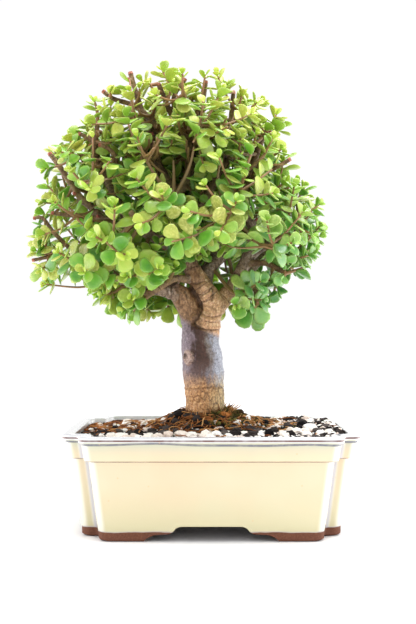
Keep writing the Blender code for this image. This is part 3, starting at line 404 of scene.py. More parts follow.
SOIL_EDGE, SOIL_SLOPE = 88.0, 2.2
MOUND_RISE, MOUND_SPREAD = 20.0, 40.0
TRUNK_X = -5.0
INNER_INSET, WALL_BITE = 10.2, 8.2
# The largest grains: how many, their radii and flatness, how far out they lie, how far apart and how
# far from the trunk
MAIN_GRAINS, MAIN_GRAIN_RADII, GRAIN_FLATNESS = 45, (3.6, 5.2), (0.6, 0.85)
GRAIN_FARTHEST, GRAIN_APART, GRAIN_CLEAR = (96.0, 78.0), 16.0, 26.0
# Large pale lumps along the front and on the right, and large dark ones between them: across, forward
# and size
PALE_LUMPS = (
    (-95, -68, 3.0), (-86, -73, 4.4), (-77, -76, 4.8), (-66, -77, 3.8), (-56, -70, 3.0), (-46, -77, 4.0),
    (-37, -75, 4.6), (-26, -76, 5.0), (-17, -78, 4.2), (-5, -76, 4.8), (4, -78, 4.2), (13, -70, 3.0),
    (28, -74, 3.4), (42, -72, 3.8), (61, -70, 3.4), (74, -66, 5.0), (83, -58, 4.4), (88, -44, 5.2),
    (58, -30, 3.2),
)
DARK_LUMPS = (
    (-90, -60, 3.6), (-70, -62, 4.2), (-60, -76, 3.4), (-42, -64, 4.4), (-30, -62, 3.8), (-12, -66, 3.6),
    (12, -76, 3.8), (20, -77, 4.4), (22, -62, 4.6), (36, -76, 4.0), (50, -74, 4.4), (54, -60, 4.8),
    (68, -76, 3.8), (78, -46, 4.2), (92, -60, 4.0), (70, -24, 4.6), (50, -16, 4.0), (84, -12, 4.4),
)


def soil_height(x, y):
    """Height of the soil: near the rim's level, raised in a mound round the trunk"""
    away = math.hypot(x - TRUNK_X, y * 1.1)
    mound = MOUND_RISE * math.exp(-((away / MOUND_SPREAD) ** 2))
    slope = SOIL_SLOPE * (2 * x / POT_LENGTH - max(0, y - POT_MIDDLE_Y) / POT_DEPTH)
    return SOIL_EDGE + slope + mound


def in_pot(x, y, inset):
    """Whether a place lies inside the pot's outline drawn in by an inset"""
    along, deep = abs(x), abs(y - POT_MIDDLE_Y)
    half_x, half_y = POT_LENGTH / 2 - inset, POT_DEPTH / 2 - inset
    in_notch = along > half_x - NOTCH_ALONG and deep > half_y - NOTCH_DEEP
    return along < half_x and deep < half_y and not in_notch


def toned_shape():
    """An empty bmesh with the layer that keeps a tone on each of its corners"""
    shape = bmesh.new()
    return shape, shape.verts.layers.float_color.new("tone")


def soil_body():
    """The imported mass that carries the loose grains, its sides hidden in the pot's wall"""
    shape, layer = toned_shape()
    bmesh.ops.create_grid(shape, x_segments=126, y_segments=96, size=1)
    for corner in shape.verts:
        x = corner.co.x * (POT_LENGTH / 2 - WALL_BITE)
        y = POT_MIDDLE_Y + corner.co.y * (POT_DEPTH / 2 - WALL_BITE)
        lumps = noise.noise(Vector((x, y, 0)) * 0.21) * 1.6 + noise.noise(Vector((x, y, 7)) * 0.55) * 0.7
        corner.co = (x, y, soil_height(x, y) - 1.6 + lumps)
    outside = [face for face in shape.faces if not in_pot(*face.calc_center_median()[:2], WALL_BITE)]
    bmesh.ops.delete(shape, geom=outside, context="FACES")
    # Down inside the wall in three stages, as the pot tapers, to the floor
    middle = Matrix.Translation((0, -POT_MIDDLE_Y, 0))
    for drop, share in ((76.0, 1.0), (70.0, 0.955), (FLOOR_TOP + 0.3, 0.895)):
        rim = [edge for edge in shape.edges if edge.is_boundary]
        skirt = bmesh.ops.extrude_edge_only(shape, edges=rim)["geom"]
        hem = [part for part in skirt if isinstance(part, bmesh.types.BMVert)]
        bmesh.ops.scale(shape, vec=(share, share, 1), space=middle, verts=hem)
        for corner in hem:
            corner.co.z = drop
    bmesh.ops.contextual_create(shape, geom=[edge for edge in shape.edges if edge.is_boundary])
    bmesh.ops.recalc_face_normals(shape, faces=shape.faces)
    for corner in shape.verts:
        tone = 0.5 + 0.5 * noise.noise(corner.co * 0.3)
        corner[layer] = (tone, tone, tone, 1)
    return shape


def grit_finish(name, roughness, scale, depth, *stops):
    """Crushed mineral: each grain keeps one tone of its own, carried by an attribute, with fine pores"""
    grit, place = new_finish(name)
    tone = node(grit, "Attribute", out="Fac", attribute_name="tone")
    pores = node(grit, "TexNoise", {"Vector": place, "Scale": scale, "Detail": 5.0, "Roughness": 0.65})
    colour = node(grit, "ValToRGB", [node(grit, "Mix", {0: 0.35, 2: tone, 3: pores})], stops=stops)
    return finished(grit, {"Base Color": colour, "Roughness": roughness, "Specular IOR Level": 0.12},
                    pores, 0.7, depth)


# Name, roughness, pores to the millimetre, their depth, and tones from dark to pale. Lava is black and
# rough, pumice chalky, bark and coir are dull brown wood, and moss has dried to olive brown.
LAVA, PUMICE, BARK_BITS, COIR, MOSS = (grit_finish(*row) for row in (
    ("crushed_black_lava", 0.95, 0.9, 0.5, (0.2, "#120f10"), (0.5, "#282322"), (0.8, "#564e4b")),
    ("crushed_white_pumice", 0.9, 1.1, 0.4, (0.1, "#cdb3a6"), (0.3, "#eee2d8"), (0.7, "#fbf8f4")),
    ("composted_pine_bark", 0.9, 0.7, 0.5, (0.2, "#2f1a10"), (0.5, "#70401f"), (0.8, "#b3713c")),
    ("coconut_coir_fibre", 0.7, 0.5, 0.2, (0.2, "#6e4226"), (0.5, "#a56c3c"), (0.85, "#d6a66e")),
    ("dried_moss", 0.9, 1.0, 0.4, (0.2, "#2a2612"), (0.5, "#4c4622"), (0.85, "#77703a")),
))


def main_grains():
    """The soil's largest grains: place, radius, flatness and turn of each, well apart"""
    draw = random.Random(5)
    found = []
    while len(found) < MAIN_GRAINS:
        x = draw.uniform(-1, 1) * GRAIN_FARTHEST[0]
        y = POT_MIDDLE_Y + draw.uniform(-1, 1) * GRAIN_FARTHEST[1]
        radius, flat = draw.uniform(*MAIN_GRAIN_RADII), draw.uniform(*GRAIN_FLATNESS)
        turn = draw.uniform(0, math.tau)
        apart = min((math.hypot(x - grain[0], y - grain[1]) for grain in found), default=math.inf)
        if apart > GRAIN_APART and math.hypot(x - TRUNK_X, y) > GRAIN_CLEAR:
            found.append((x, y, radius, flat, turn))
    return found


def add_to(whole, other):
    """Adds one bmesh to another and frees it"""
    mesh = meshed("passing", other)
    whole.from_mesh(mesh)
    bpy.data.meshes.remove(mesh)


def add_grain(whole, draw, x, y, size, flat, turn, sink, fineness=2):
    """One broken grain: a coarse ball with its corners moved, laid its own way with its foot in the soil"""
    grain, layer = toned_shape()
    bmesh.ops.create_icosphere(grain, subdivisions=fineness, radius=1)
    tone = draw.random()
    lay = Matrix.Rotation(turn, 3, "Z") @ Matrix.Rotation(draw.uniform(-0.4, 0.4), 3, "X")
    seed = Vector((draw.uniform(0, 90), draw.uniform(0, 90), draw.uniform(0, 90)))
    for corner in grain.verts:
        push = 1 + 0.45 * noise.noise(corner.co * 1.3 + seed) + draw.uniform(-0.07, 0.07)
        local = Vector((corner.co.x * 1.2, corner.co.y, corner.co.z * flat)) * push * size
        corner.co = lay @ local + Vector((x, y, soil_height(x, y) + size * flat * sink))
        corner[layer] = (tone, tone, tone, 1)
    add_to(whole, grain)


def shares(x, y):
    """How much of the surface is pumice, and how much is bark, at a place"""
    from_trunk = math.hypot(x - TRUNK_X, y)
    front = min(max((-40 - y) / 20, 0), 1) * (0.62 if x < 8 else 0.34)
    heap = min(max((x - 40) / 25, 0), 1) * 0.3
    brown_left = min(max((y + 30) / 20, 0), 1) * min(max((-8 - x) / 20, 0), 1) * 0.8
    near = 0.7 * math.exp(-((from_trunk / 40) ** 2))
    return 0.1 + max(front, heap), (0.12 + max(brown_left, near)) * (1 - 0.6 * min(front * 2, 1))


def grain_kind(draw, x, y):
    """What a grain at a place is made of, and how flat such a grain is"""
    pale, brown = shares(x, y)
    pick = draw.random()
    if pick < pale:
        return "pumice", draw.uniform(0.65, 0.9)
    if pick < pale + brown:
        return "bark", draw.uniform(0.3, 0.55)
    return "lava", draw.uniform(0.65, 0.95)


def round_trunk(around, away):
    """Place on the ground at an angle and a distance from the trunk"""
    return TRUNK_X + away * math.cos(around), away * math.sin(around)


def grains():
    """Loose grains over the whole surface, large and small, each kind where the photographed soil has it"""
    kinds = {name: toned_shape()[0] for name in ("lava", "pumice", "bark")}
    draw = random.Random(23)
    largest = main_grains()
    for x, y, radius, flat, turn in largest:
        kind = "pumice" if draw.random() < shares(x, y)[0] + 0.1 else "lava"
        add_grain(kinds[kind], draw, x, y, radius, flat, turn, 0.0)
    for spacing, sizes, fineness, taken_share in ((3.8, (1.2, 2.2), 1, 1.0), (7.6, (2.6, 4.3), 2, 0.9)):
        rows = int((POT_DEPTH - 2 * INNER_INSET) / spacing) + 1
        columns = int((POT_LENGTH - 2 * INNER_INSET) / spacing) + 1
        for row, column in ((row, column) for row in range(rows) for column in range(columns)):
            x = -POT_LENGTH / 2 + INNER_INSET + (column + draw.uniform(-0.1, 1.1)) * spacing
            y = POT_MIDDLE_Y - POT_DEPTH / 2 + INNER_INSET + (row + draw.uniform(-0.1, 1.1)) * spacing
            size = draw.uniform(*sizes)
            kind, flat = grain_kind(draw, x, y)
            clear = math.hypot(x - TRUNK_X, y) > 18.0 + size and in_pot(x, y, INNER_INSET + size + 0.8)
            alone = min(math.hypot(x - grain[0], y - grain[1]) - grain[2] for grain in largest) > 0.6 * size
            if clear and alone and draw.random() < taken_share:
                sink = draw.uniform(-0.6, 0.1)
                add_grain(kinds[kind], draw, x, y, size, flat, draw.uniform(0, math.tau), sink, fineness)
    for kind, lumps, thickest, sink in (("pumice", PALE_LUMPS, 0.85, 0.4), ("lava", DARK_LUMPS, 0.9, 0.35)):
        for x, y, size in lumps:
            add_grain(kinds[kind], draw, x, y + POT_MIDDLE_Y + 4, size, draw.uniform(0.7, thickest),
                      draw.uniform(0, math.tau), sink)
    # Larger lumps against the trunk's foot: dark ones on its left, brown ones on its right
    for number in range(26):
        around = draw.uniform(2.6, 4.4) if number % 2 else draw.uniform(-1.0, 0.6)
        x, y = round_trunk(around, draw.uniform(21.5, 31))
        size = draw.uniform(2.8, 4.6)
        add_grain(kinds["lava" if number % 2 else "bark"], draw, x, y, size, draw.uniform(0.6, 0.95),
                  draw.uniform(0, math.tau), 0.25)
    return kinds


def tubes(lines, sides):
    """Round tubes along lines of places and radii, as one bmesh with every end closed"""
    curve = bpy.data.curves.new("line", "CURVE")
    curve.dimensions = "3D"
    curve.bevel_depth = 1
    curve.bevel_resolution = max(sides // 2 - 2, 0)
    curve.use_fill_caps = True
    for points, radii in lines:
        line = curve.splines.new("POLY")
        line.points.add(len(points) - 1)
        for knot, place, radius in zip(line.points, points, radii):
            knot.co = (*place, 1)
            knot.radius = radius
    shape = taken(placed("line", curve))
    bmesh.ops.remove_doubles(shape, verts=shape.verts, dist=0.001)
    bmesh.ops.recalc_face_normals(shape, faces=shape.faces)
    return shape


def coir_lines(draw):
    """Lines of fibres that lie over the grains in loose bends, and of straws that stand at the trunk"""
    lines, steps = [], 7
    for _ in range(260):
        around = draw.uniform(0, math.tau)
        away = 19 + abs(draw.gauss(0, 1)) * 26
        x, y = TRUNK_X + away * math.cos(around) * 1.3, away * math.sin(around)
        heading, bend_rate = draw.uniform(0, math.tau), draw.uniform(-0.35, 0.35)
        length, rise = draw.uniform(8, 30), draw.uniform(-1.5, 3.0)
        points, radii = [], []
        for step in range(steps + 1):
            arch = math.sin(math.pi * step / steps) * rise
            points.append(Vector((x, y, soil_height(x, y) + 1.6 + arch + draw.uniform(-0.4, 0.4))))
            radii.append(draw.uniform(0.25, 0.6) * (1 if step < steps else 0.4))
            x += math.cos(heading) * length / steps
            y += math.sin(heading) * length / steps
            heading += bend_rate + draw.uniform(-0.2, 0.2)
        if all(in_pot(point.x, point.y, INNER_INSET + 1.5)
               and math.hypot(point.x - TRUNK_X, point.y) > 17.5 for point in points):
            lines.append((points, radii))
    for _ in range(70):
        around, away = draw.gauss(-0.1, 0.9), draw.uniform(18.5, 27)
        x, y = round_trunk(around, away)
        foot = Vector((x, y, soil_height(x, y)))
        lean = Vector((draw.uniform(-0.2, 1.0) * math.cos(around), draw.uniform(-0.6, 0.6), 1))
        lean *= draw.uniform(3, 9)
        tip = foot + lean + Vector((lean.x, lean.y, -1)) * 0.3
        lines.append(([foot, foot + lean * 0.55, tip], [0.5, 0.4, 0.2]))
    return lines


def moss_lines(draw):
    """Lines of short stalks that fan out from the middle of each dry tuft"""
    lines = []
    for _ in range(80):
        x, y = round_trunk(draw.gauss(-0.25, 0.55), 20 + abs(draw.gauss(0, 1)) * 12)
        middle = Vector((x, y, soil_height(x, y) + 0.4))
        for _ in range(9):
            reach = Vector((draw.uniform(-1, 1), draw.uniform(-1, 1), draw.uniform(0.6, 1.5)))
            reach *= draw.uniform(2, 4)
            lines.append(([middle, middle + reach * 0.5, middle + reach], [0.35, 0.3, 0.15]))
    return lines


def moss_clumps(draw):
    """Small dry tufts on the right of the trunk's foot and here and there beyond it"""
    shape = toned_shape()[0]
    for _ in range(90):
        x, y = round_trunk(draw.gauss(-0.2, 0.7), 22 + abs(draw.gauss(0, 1)) * 20)
        if in_pot(x, y, INNER_INSET + 6):
            add_grain(shape, draw, x, y, draw.uniform(1.2, 2.4), draw.uniform(0.5, 0.9), 0.0, 0.6, 1)
    return shape


def stalks(make_lines, seed):
    """Thin tubes along lines, with one tone for each of them"""
    draw = random.Random(seed)
    shape = tubes(make_lines(draw), 4)
    layer = shape.verts.layers.float_color.new("tone")
    done = set()
    for first in shape.verts:
        if first in done:
            continue
        done.add(first)
        tone, reached = draw.random(), [first]
        while reached:
            corner = reached.pop()
            corner[layer] = (tone, tone, tone, 1)
            beyond = {edge.other_vert(corner) for edge in corner.link_edges} - done
            done |= beyond
            reached += beyond
    return shape


GRAINS = grains()
for name, shape, finish, sharp in (
    ("packed_soil", soil_body(), LAVA, 50), ("lava_grains", GRAINS["lava"], LAVA, None),
    ("pumice_grains", GRAINS["pumice"], PUMICE, None), ("bark_grains", GRAINS["bark"], BARK_BITS, None),
    ("coir_fibres", stalks(coir_lines, 31), COIR, 80),
    ("moss_tufts", moss_clumps(random.Random(37)), MOSS, None),
    ("moss_stalks", stalks(moss_lines, 43), MOSS, 80),
):
    piece(name, shape, finish, "gritty_soil", "soil", sharp=sharp)


# Trunk and branches
# One grown piece of living wood under thin bark. Old shoots left rings and creases round it, a cut
# branch left a knot on its front left, and the bark is mauve and blue-grey above and tan below.

# Places along the trunk and each branch, in the order they grow: x, y, height, radius
TRUNK_LINE = (
    (-5, 0, 66, 15.0), (-5, 0, 78, 17.6), (-5, 0, 103, 18.0), (-6, 0, 120, 18.0), (-7, 0, 137, 18.6),
    (-8, 0, 152, 18.8), (-10, 0, 168, 17.3), (-9, 0, 180, 17.6), (-8, 0, 188, 17.0), (-9, 3, 197, 9.0),
)
BRANCHES = {
    "left_fork": ((-14, 1, 184, 14), (-19, -1, 197, 11.8), (-25, -5, 207, 10.4), (-32, -9, 213, 8.4),
                  (-36, -11, 218, 6.8)),
    "leader": ((-4, -6, 174, 11.6), (-4, -7, 181, 12), (-3, -7, 188, 11.6), (0, -6, 195, 10.6),
               (2, -5, 203, 10.4), (-5, -6, 212, 10.2), (-11, -6, 221, 9.4), (-15, -6, 229, 8.4),
               (-19, -4, 239, 7.2), (-22, 0, 252, 6.4), (-26, 4, 266, 5.8), (-29, 7, 281, 5.4),
               (-31, 6, 295, 5.2), (-31, 2, 307, 5)),
    "right_fork": ((1, -2, 195, 9.5), (8, 0, 204, 9), (16, 2, 212, 7.8), (23, 4, 223, 6.8),
                   (29, 6, 235, 6.2), (35, 8, 247, 5.8)),
    "left_arm": ((-31, 3, 306, 4.8), (-39, -4, 313, 4.6), (-46, -10, 324, 4.2), (-54, -14, 333, 3.6),
                 (-63, -18, 341, 3)),
    "right_arm": ((-31, 2, 306, 4.8), (-24, 0, 313, 4.8), (-20, -2, 326, 4.6), (-18, -4, 341, 4.2),
                  (-19, -5, 352, 3.6), (-24, -6, 361, 2.6)),
    "right_upright": ((35, 8, 246, 5.4), (39, 6, 259, 5), (38, 4, 273, 4.6), (32, 2, 286, 4.2),
                      (32, 0, 302, 4), (34, 0, 316, 3.8), (39, 0, 332, 3.6), (47, 0, 356, 3)),
    "right_reach": ((34, 8, 245, 5), (47, 6, 255, 4.6), (58, 3, 260, 4), (71, 0, 266, 3.4),
                    (82, -3, 270, 2.8)),
    "right_low": ((31, 6, 239, 3.6), (42, 2, 240, 3.1), (52, -2, 239, 2.8), (68, -6, 230, 2.6)),
    "right_inner": ((-7, -3, 217, 6.5), (-3, 3, 231, 5.6), (5, 9, 241, 5), (14, 15, 249, 4.4),
                    (25, 20, 260, 3.8)),
    "middle_upright": ((-25, 4, 263, 4.8), (-16, 10, 280, 4.3), (-8, 14, 297, 4.2), (1, 16, 313, 4.2),
                       (8, 16, 326, 4), (16, 16, 338, 3.6)),
    "left_scaffold": ((-20, -1, 245, 6), (-36, -12, 255, 5), (-48, -20, 260, 4.6), (-60, -24, 266, 4.4),
                      (-73, -24, 274, 4.3), (-81, -22, 289, 4.3), (-89, -20, 305, 4.2),
                      (-99, -20, 328, 3.8)),
    "left_reach": ((-72, -23, 273, 4.2), (-87, -16, 276, 4), (-99, -8, 279, 3.9), (-110, -4, 291, 3.6),
                   (-121, -2, 301, 3.4), (-139, 0, 328, 2.8), (-149, 0, 341, 2.4)),
    "left_low": ((-27, -8, 209, 7.5), (-42, -15, 214, 5.8), (-55, -19, 216, 5.1), (-68, -20, 219, 4.7),
                 (-81, -18, 223, 4.4), (-94, -14, 232, 4), (-104, -10, 239, 3.6), (-118, -8, 244, 3),
                 (-134, -6, 247, 2.6)),
    "left_thin": ((-18, -8, 224, 4), (-32, -18, 225, 3.4), (-40, -24, 221, 3.2), (-48, -27, 215, 3),
                  (-64, -26, 210, 2.6), (-77, -24, 205, 2.2), (-75, -23, 196, 2)),
    "cut_stem": ((-46, -10, 322, 4.2), (-50, -6, 336, 3.9), (-52, -4, 361, 3.8), (-54, -4, 375, 3.6)),
    "top_left": ((-52, -4, 358, 3.4), (-56, 2, 372, 3), (-71, 6, 386, 2.7), (-90, 4, 392, 2.4),
                 (-100, 3, 399, 2.2)),
    "top_stub": ((-65, 6, 383, 2.8), (-72, 6, 406, 2.5), (-75, 6, 417, 2.5)),
    "left_upright": ((-89, -20, 304, 3.6), (-97, -13, 317, 3), (-106, -6, 341, 2.8), (-104, -4, 369, 2.4)),
    "crown_left": ((-20, -2, 325, 3.8), (-23, 7, 345, 3.4), (-29, 10, 364, 3.2), (-38, 10, 381, 3),
                   (-49, 8, 407, 2.4)),
    "crown_middle": ((-28, 10, 363, 3), (-26, 12, 382, 2.8), (-26, 12, 410, 2.4)),
    "crown_right": ((-19, 0, 330, 3.4), (-16, 12, 357, 3), (-10, 13, 378, 2.8), (-5, 11, 410, 2.4)),
    "crown_far_right": ((8, 16, 326, 3.6), (14, 18, 352, 3.1), (18, 18, 371, 2.8), (21, 15, 401, 2.2)),
    "back_left_high": ((-19, -2, 241, 6.4), (-21, 14, 253, 6), (-26, 34, 268, 5.2), (-34, 52, 289, 4.4),
                       (-42, 64, 310, 3.8)),
    "back_right_high": ((-6, -3, 213, 7), (-4, 14, 228, 6.2), (1, 34, 249, 5.4), (11, 54, 273, 4.6),
                        (21, 66, 296, 3.8)),
    "back_left_low": ((-21, -4, 203, 7.5), (-32, 14, 214, 6), (-51, 34, 230, 5.2), (-71, 50, 247, 4.4),
                      (-91, 58, 265, 3.6)),
    "back_right_low": ((20, 4, 221, 6), (33, 24, 231, 5), (49, 42, 247, 4.2), (65, 52, 265, 3.4)),
    "front_middle": ((-29, 6, 279, 4.4), (-31, -18, 282, 4), (-32, -40, 286, 3.5), (-33, -58, 292, 3)),
    "front_right": ((38, 5, 263, 4.4), (32, -16, 264, 4), (25, -38, 269, 3.5), (15, -56, 278, 3)),
    "front_left": ((-48, -20, 260, 4.4), (-54, -40, 262, 4), (-62, -58, 269, 3.4), (-69, -70, 280, 2.8)),
    "front_low": ((24, 3, 226, 3.6), (34, -10, 220, 2.8), (40, -18, 214, 2.4), (42, -21, 203, 2)),
}
KNOT_PLACE = Vector((-20.0, -11.8, 153.0))
KNOT_FACING = Vector((-0.72, -0.69, 0.05))
WOOD_VOXEL = 1.1
# Creases and ring scars on the trunk's front: depth, half width, height of the lip above each, and the
# places that it passes, across and up
CREASES = (
    (2.1, 0.9, 0.7, ((-16.8, 185.5), (-12.9, 181.6), (-6.8, 179.0), (0.1, 177.9), (9.0, 178.6))),
    (1.1, 0.65, 0.35, ((-10.9, 189.8), (-5.9, 186.8), (0.1, 185.2), (10.0, 186.2))),
    (1.2, 0.65, 0.35, ((-8.6, 193.8), (-4.2, 191.0), (1.9, 190.1), (11.0, 192.2))),
    (3.2, 1.4, 0.0, ((-16.8, 185.5), (-13.8, 189.4), (-10.3, 194.6), (-9.0, 198.1), (-9.9, 202.4),
                     (-12.9, 207.6), (-16.4, 212.8), (-19.8, 218.0))),
    (1.2, 0.65, 0.4, ((-12.9, 210.7), (-7.7, 210.4), (-2.5, 213.3), (0.3, 217.2))),
    (1.2, 0.65, 0.4, ((-10.5, 204.3), (-5.1, 204.2), (-0.7, 206.8), (1.2, 211.1))),
    (1.0, 0.65, 0.3, ((-18.1, 221.1), (-12.9, 220.5), (-5.9, 223.1))),
    (2.0, 1.0, 0.0, ((1.7, 216.4), (2.0, 210.2), (0.8, 205.9))),
    (1.2, 0.75, 0.45, ((-36.2, 217.4), (-35.5, 210.2), (-37.8, 204.9))),
    (1.2, 0.75, 0.45, ((-32.4, 217.9), (-28.9, 211.1), (-29.4, 202.2))),
    (1.1, 0.75, 0.4, ((-26.3, 215.3), (-22.4, 211.1), (-21.6, 206.9))),
    (0.8, 0.6, 0.3, ((-26.0, 123.0), (-12.9, 125.2), (-4.2, 126.2), (4.5, 125.0), (14.0, 124.7))),
)
# Shoots of the crown that were cut back, each from inside its branch to its cut end
CUT_SHOOTS = (
    ((-50, -6, 334, 2.6), (-53, -13, 342, 2.5), (-54, -15, 357, 2.3)),
    ((-30, 8, 374, 2.6), (-35, 4, 392, 2.4), (-24, 2, 410, 2.2)),
    ((46, 0, 353, 2.4), (55, -4, 360, 2.0)),
    ((-106, -5, 348, 2.4), (-113, -7, 354, 2.2), (-121, -9, 358, 2.0)),
    ((-92, -20, 311, 2.6), (-85, -26, 330, 2.4), (-91, -29, 340, 2.2), (-100, -30, 344, 2.1)),
    ((38, 0, 320, 2.4), (56, -8, 325, 2.3), (72, -11, 334, 2.1)),
    ((-118, -8, 244, 2.4), (-132, -12, 256, 2.3), (-143, -14, 267, 2.2), (-153, -14, 280, 2.0),
     (-161, -14, 280, 1.9)),
    ((-132, -6, 247, 2.2), (-148, -8, 245, 2.0), (-163, -9, 242, 1.8)),
    ((-100, -8, 279, 2.6), (-122, -10, 282, 2.3), (-145, -11, 285, 2.0)),
)


def lines_of(rows):
    """Rows of x, y, height and radius as lists of places and radii"""
    return [([Vector(point[:3]) for point in line], [point[3] for point in line]) for line in rows]


def through(points, radii, step):
    """Finer line on a smooth curve through the points, and its radii"""
    fine, sizes = [], []
    for index in range(len(points) - 1):
        start, end = points[index], points[index + 1]
        leave = (end - points[max(index - 1, 0)]) / 2
        arrive = (points[min(index + 2, len(points) - 1)] - start) / 2
        count = max(2, round((end - start).length / step))
        for part in range(count + (index == len(points) - 2)):
            t = part / count
            fine.append(start * (2 * t ** 3 - 3 * t ** 2 + 1) + leave * (t ** 3 - 2 * t ** 2 + t)
                        + end * (3 * t ** 2 - 2 * t ** 3) + arrive * (t ** 3 - t ** 2))
            sizes.append(radii[index] + (radii[index + 1] - radii[index]) * t)
    return fine, sizes


def ringed(points, radii, draw, spacing):
    """Radii with a groove and a swelling at each ring that an old pair of leaves left round the wood"""
    sizes, gone, ring = [], 0.0, draw.uniform(2, 5)
    for index, radius in enumerate(radii):
        if index:
            gone += (points[index] - points[index - 1]).length
        if gone > ring + 3.5:
            ring += max(draw.uniform(*spacing), 4)
        groove = math.exp(-(((gone - ring) / 0.8) ** 2))
        swelling = math.exp(-(((gone - ring - 2.0) / 1.3) ** 2))
        sizes.append(radius * (1 - 0.075 * groove + 0.035 * swelling))
    return sizes


def knot():
    """Scar of the cut branch: a raised lip of healed bark round a hollow"""
    shape = bmesh.new()
    bmesh.ops.create_cone(shape, cap_ends=True, segments=20, radius1=8.8, radius2=5.6, depth=8)
    cap = max(shape.faces, key=lambda face: face.calc_center_median().z)
    bmesh.ops.inset_region(shape, faces=[cap], thickness=2.4)
    bmesh.ops.translate(shape, vec=(0, 0, -4.0), verts=cap.verts)
    facing = KNOT_FACING.to_track_quat("Z", "Y").to_matrix()
    bmesh.ops.rotate(shape, cent=(0, 0, 0), matrix=facing, verts=shape.verts)
    bmesh.ops.translate(shape, vec=KNOT_PLACE, verts=shape.verts)
    return shape


def stub_lines():
    """Short stubs of shoots that were cut back, on the limbs"""
    draw = random.Random(43)
    lines = []
    for points, radii in WOOD_LINES[2:]:
        for index in range(1, len(points) - 1):
            if draw.random() < 0.45:
                way = points[index + 1] - points[index]
                side = way.cross(Vector((draw.uniform(-1, 1), draw.uniform(-1, 1), draw.uniform(-1, 1))))
                out = (side.normalized() + way.normalized() * 0.5 + Vector((0, 0, 0.4))).normalized()
                start = points[index] + out * radii[index] * 0.4
                size = draw.uniform(1.3, 1.9)
                long = radii[index] * 0.6 + draw.uniform(2.5, 6)
                lines.append(([start, start + out * long], [size * 1.15, size]))
    return lines


WOOD_LINES = lines_of([TRUNK_LINE, *BRANCHES.values()])
CUT_LINES = lines_of(CUT_SHOOTS)
STUB_LINES = stub_lines()


def grown_wood():
    """All the wood as one skin: tubes fused at small cells, then softened"""
    draw = random.Random(41)
    whole = bmesh.new()
    for number, (points, radii) in enumerate(WOOD_LINES):
        fine, sizes = through(points, radii, 1.2)
        thick = radii[0] > 9
        if number:
            sizes = ringed(fine, sizes, draw, (6, 10) if thick else (7, 13))
        add_to(whole, tubes([(fine, sizes)], 24 if thick else 14))
    add_to(whole, knot())
    add_to(whole, tubes(STUB_LINES + [through(points, radii, 3.0) for points, radii in CUT_LINES], 8))
    passing = placed("wood", meshed("wood", whole))
    skin = passing.modifiers.new("fuse", "REMESH")
    skin.mode, skin.voxel_size = "VOXEL", WOOD_VOXEL
    shape = taken(passing)
    for _ in range(2):
        bmesh.ops.smooth_vert(shape, verts=shape.verts, factor=0.5, use_axis_x=True, use_axis_y=True,
                              use_axis_z=True)
    return shape


def measured(shape):
    """Gives each corner of the wood how thick the branch under it is and how far along it lies"""
    layer = shape.verts.layers.float_color.new("grain")
    corners = numpy.array([corner.co for corner in shape.verts])
    nearest = numpy.full(len(corners), 1e9)
    girth, along = numpy.zeros(len(corners)), numpy.zeros(len(corners))
    for points, radii in WOOD_LINES + CUT_LINES:
        gone = 0.0
        for start, end, low, high in zip(points, points[1:], radii, radii[1:]):
            span = numpy.array(end - start)
            length = float(numpy.linalg.norm(span))
            offset = corners - numpy.array(start)
            share = numpy.clip(offset @ span / length ** 2, 0, 1)
            radius = low + (high - low) * share
            away = numpy.linalg.norm(offset - share[:, None] * span, axis=1) - radius
            closer = away < nearest
            nearest[closer], girth[closer] = away[closer], radius[closer]
            along[closer] = gone + share[closer] * length
            gone += length
    for corner, thick, far in zip(shape.verts, girth, along):
        corner[layer] = (thick / 20, far / 500, 0, 1)
    return layer


def near_span(place, start, end):
    """Shortest way to a place from a straight stretch"""
    span = end - start
    share = min(max((place - start).dot(span) / span.length_squared, 0), 1)
    return place - start - span * share


def creased(shape, layer):
    """Presses the creases into the front of the trunk, swells the bark above each and marks its depth,
    which the bark's colour darkens as painted shade in each crease
    """
    shape.normal_update()
    paths = [(depth, wide, lip, [Vector(place) for place in path]) for depth, wide, lip, path in CREASES]
    for corner in shape.verts:
        place = corner.co
        if place.z < 110 or place.z > 226 or abs(place.x + 12) > 32 or corner.normal.y > 0.15:
            continue
        here = Vector((place.x, place.z))
        move, crease_shade = 0.0, 0.0
        for depth, wide, lip, path in paths:
            off = min((near_span(here, start, end) for start, end in zip(path, path[1:])),
                      key=lambda way: way.length)
            pressed = math.exp(-((off.length / wide) ** 2))
            swollen = math.exp(-(((off.length - 2.4 * wide) / (1.5 * wide)) ** 2)) if off.y > 0 else 0.0
            move += swollen * lip - pressed * depth
            crease_shade = max(crease_shade, pressed * min(depth / 1.6, 1))
        faces_front = min(max(0.6 - corner.normal.y, 0), 1)
        corner.co = place + corner.normal * move * faces_front
        corner[layer] = (*corner[layer][:2], crease_shade * faces_front, 1)


def barked(shape):
    """Moves the skin out and in for the bark's coarse relief: plates low on the trunk, dents above"""
    layer = measured(shape)
    creased(shape, layer)
    shape.normal_update()
    for corner in shape.verts:
        place, thick = corner.co, corner[layer][0]
        low = min(max((128 - place.z) / 20, 0), 1) * (thick > 0.6)
        plates = abs(noise.noise(Vector((place.x * 0.2, place.y * 0.2, place.z * 0.07))))
        dents = noise.noise(place * 0.09) * 1.2 + noise.noise(place * 0.3) * 0.45
        fine = noise.noise(place * 0.75) * 0.22
        move = (dents + fine) * min(thick * 1.2, 1) - low * max(0.16 - plates, 0) * 4.5
        corner.co = place + corner.normal * move
    return shape


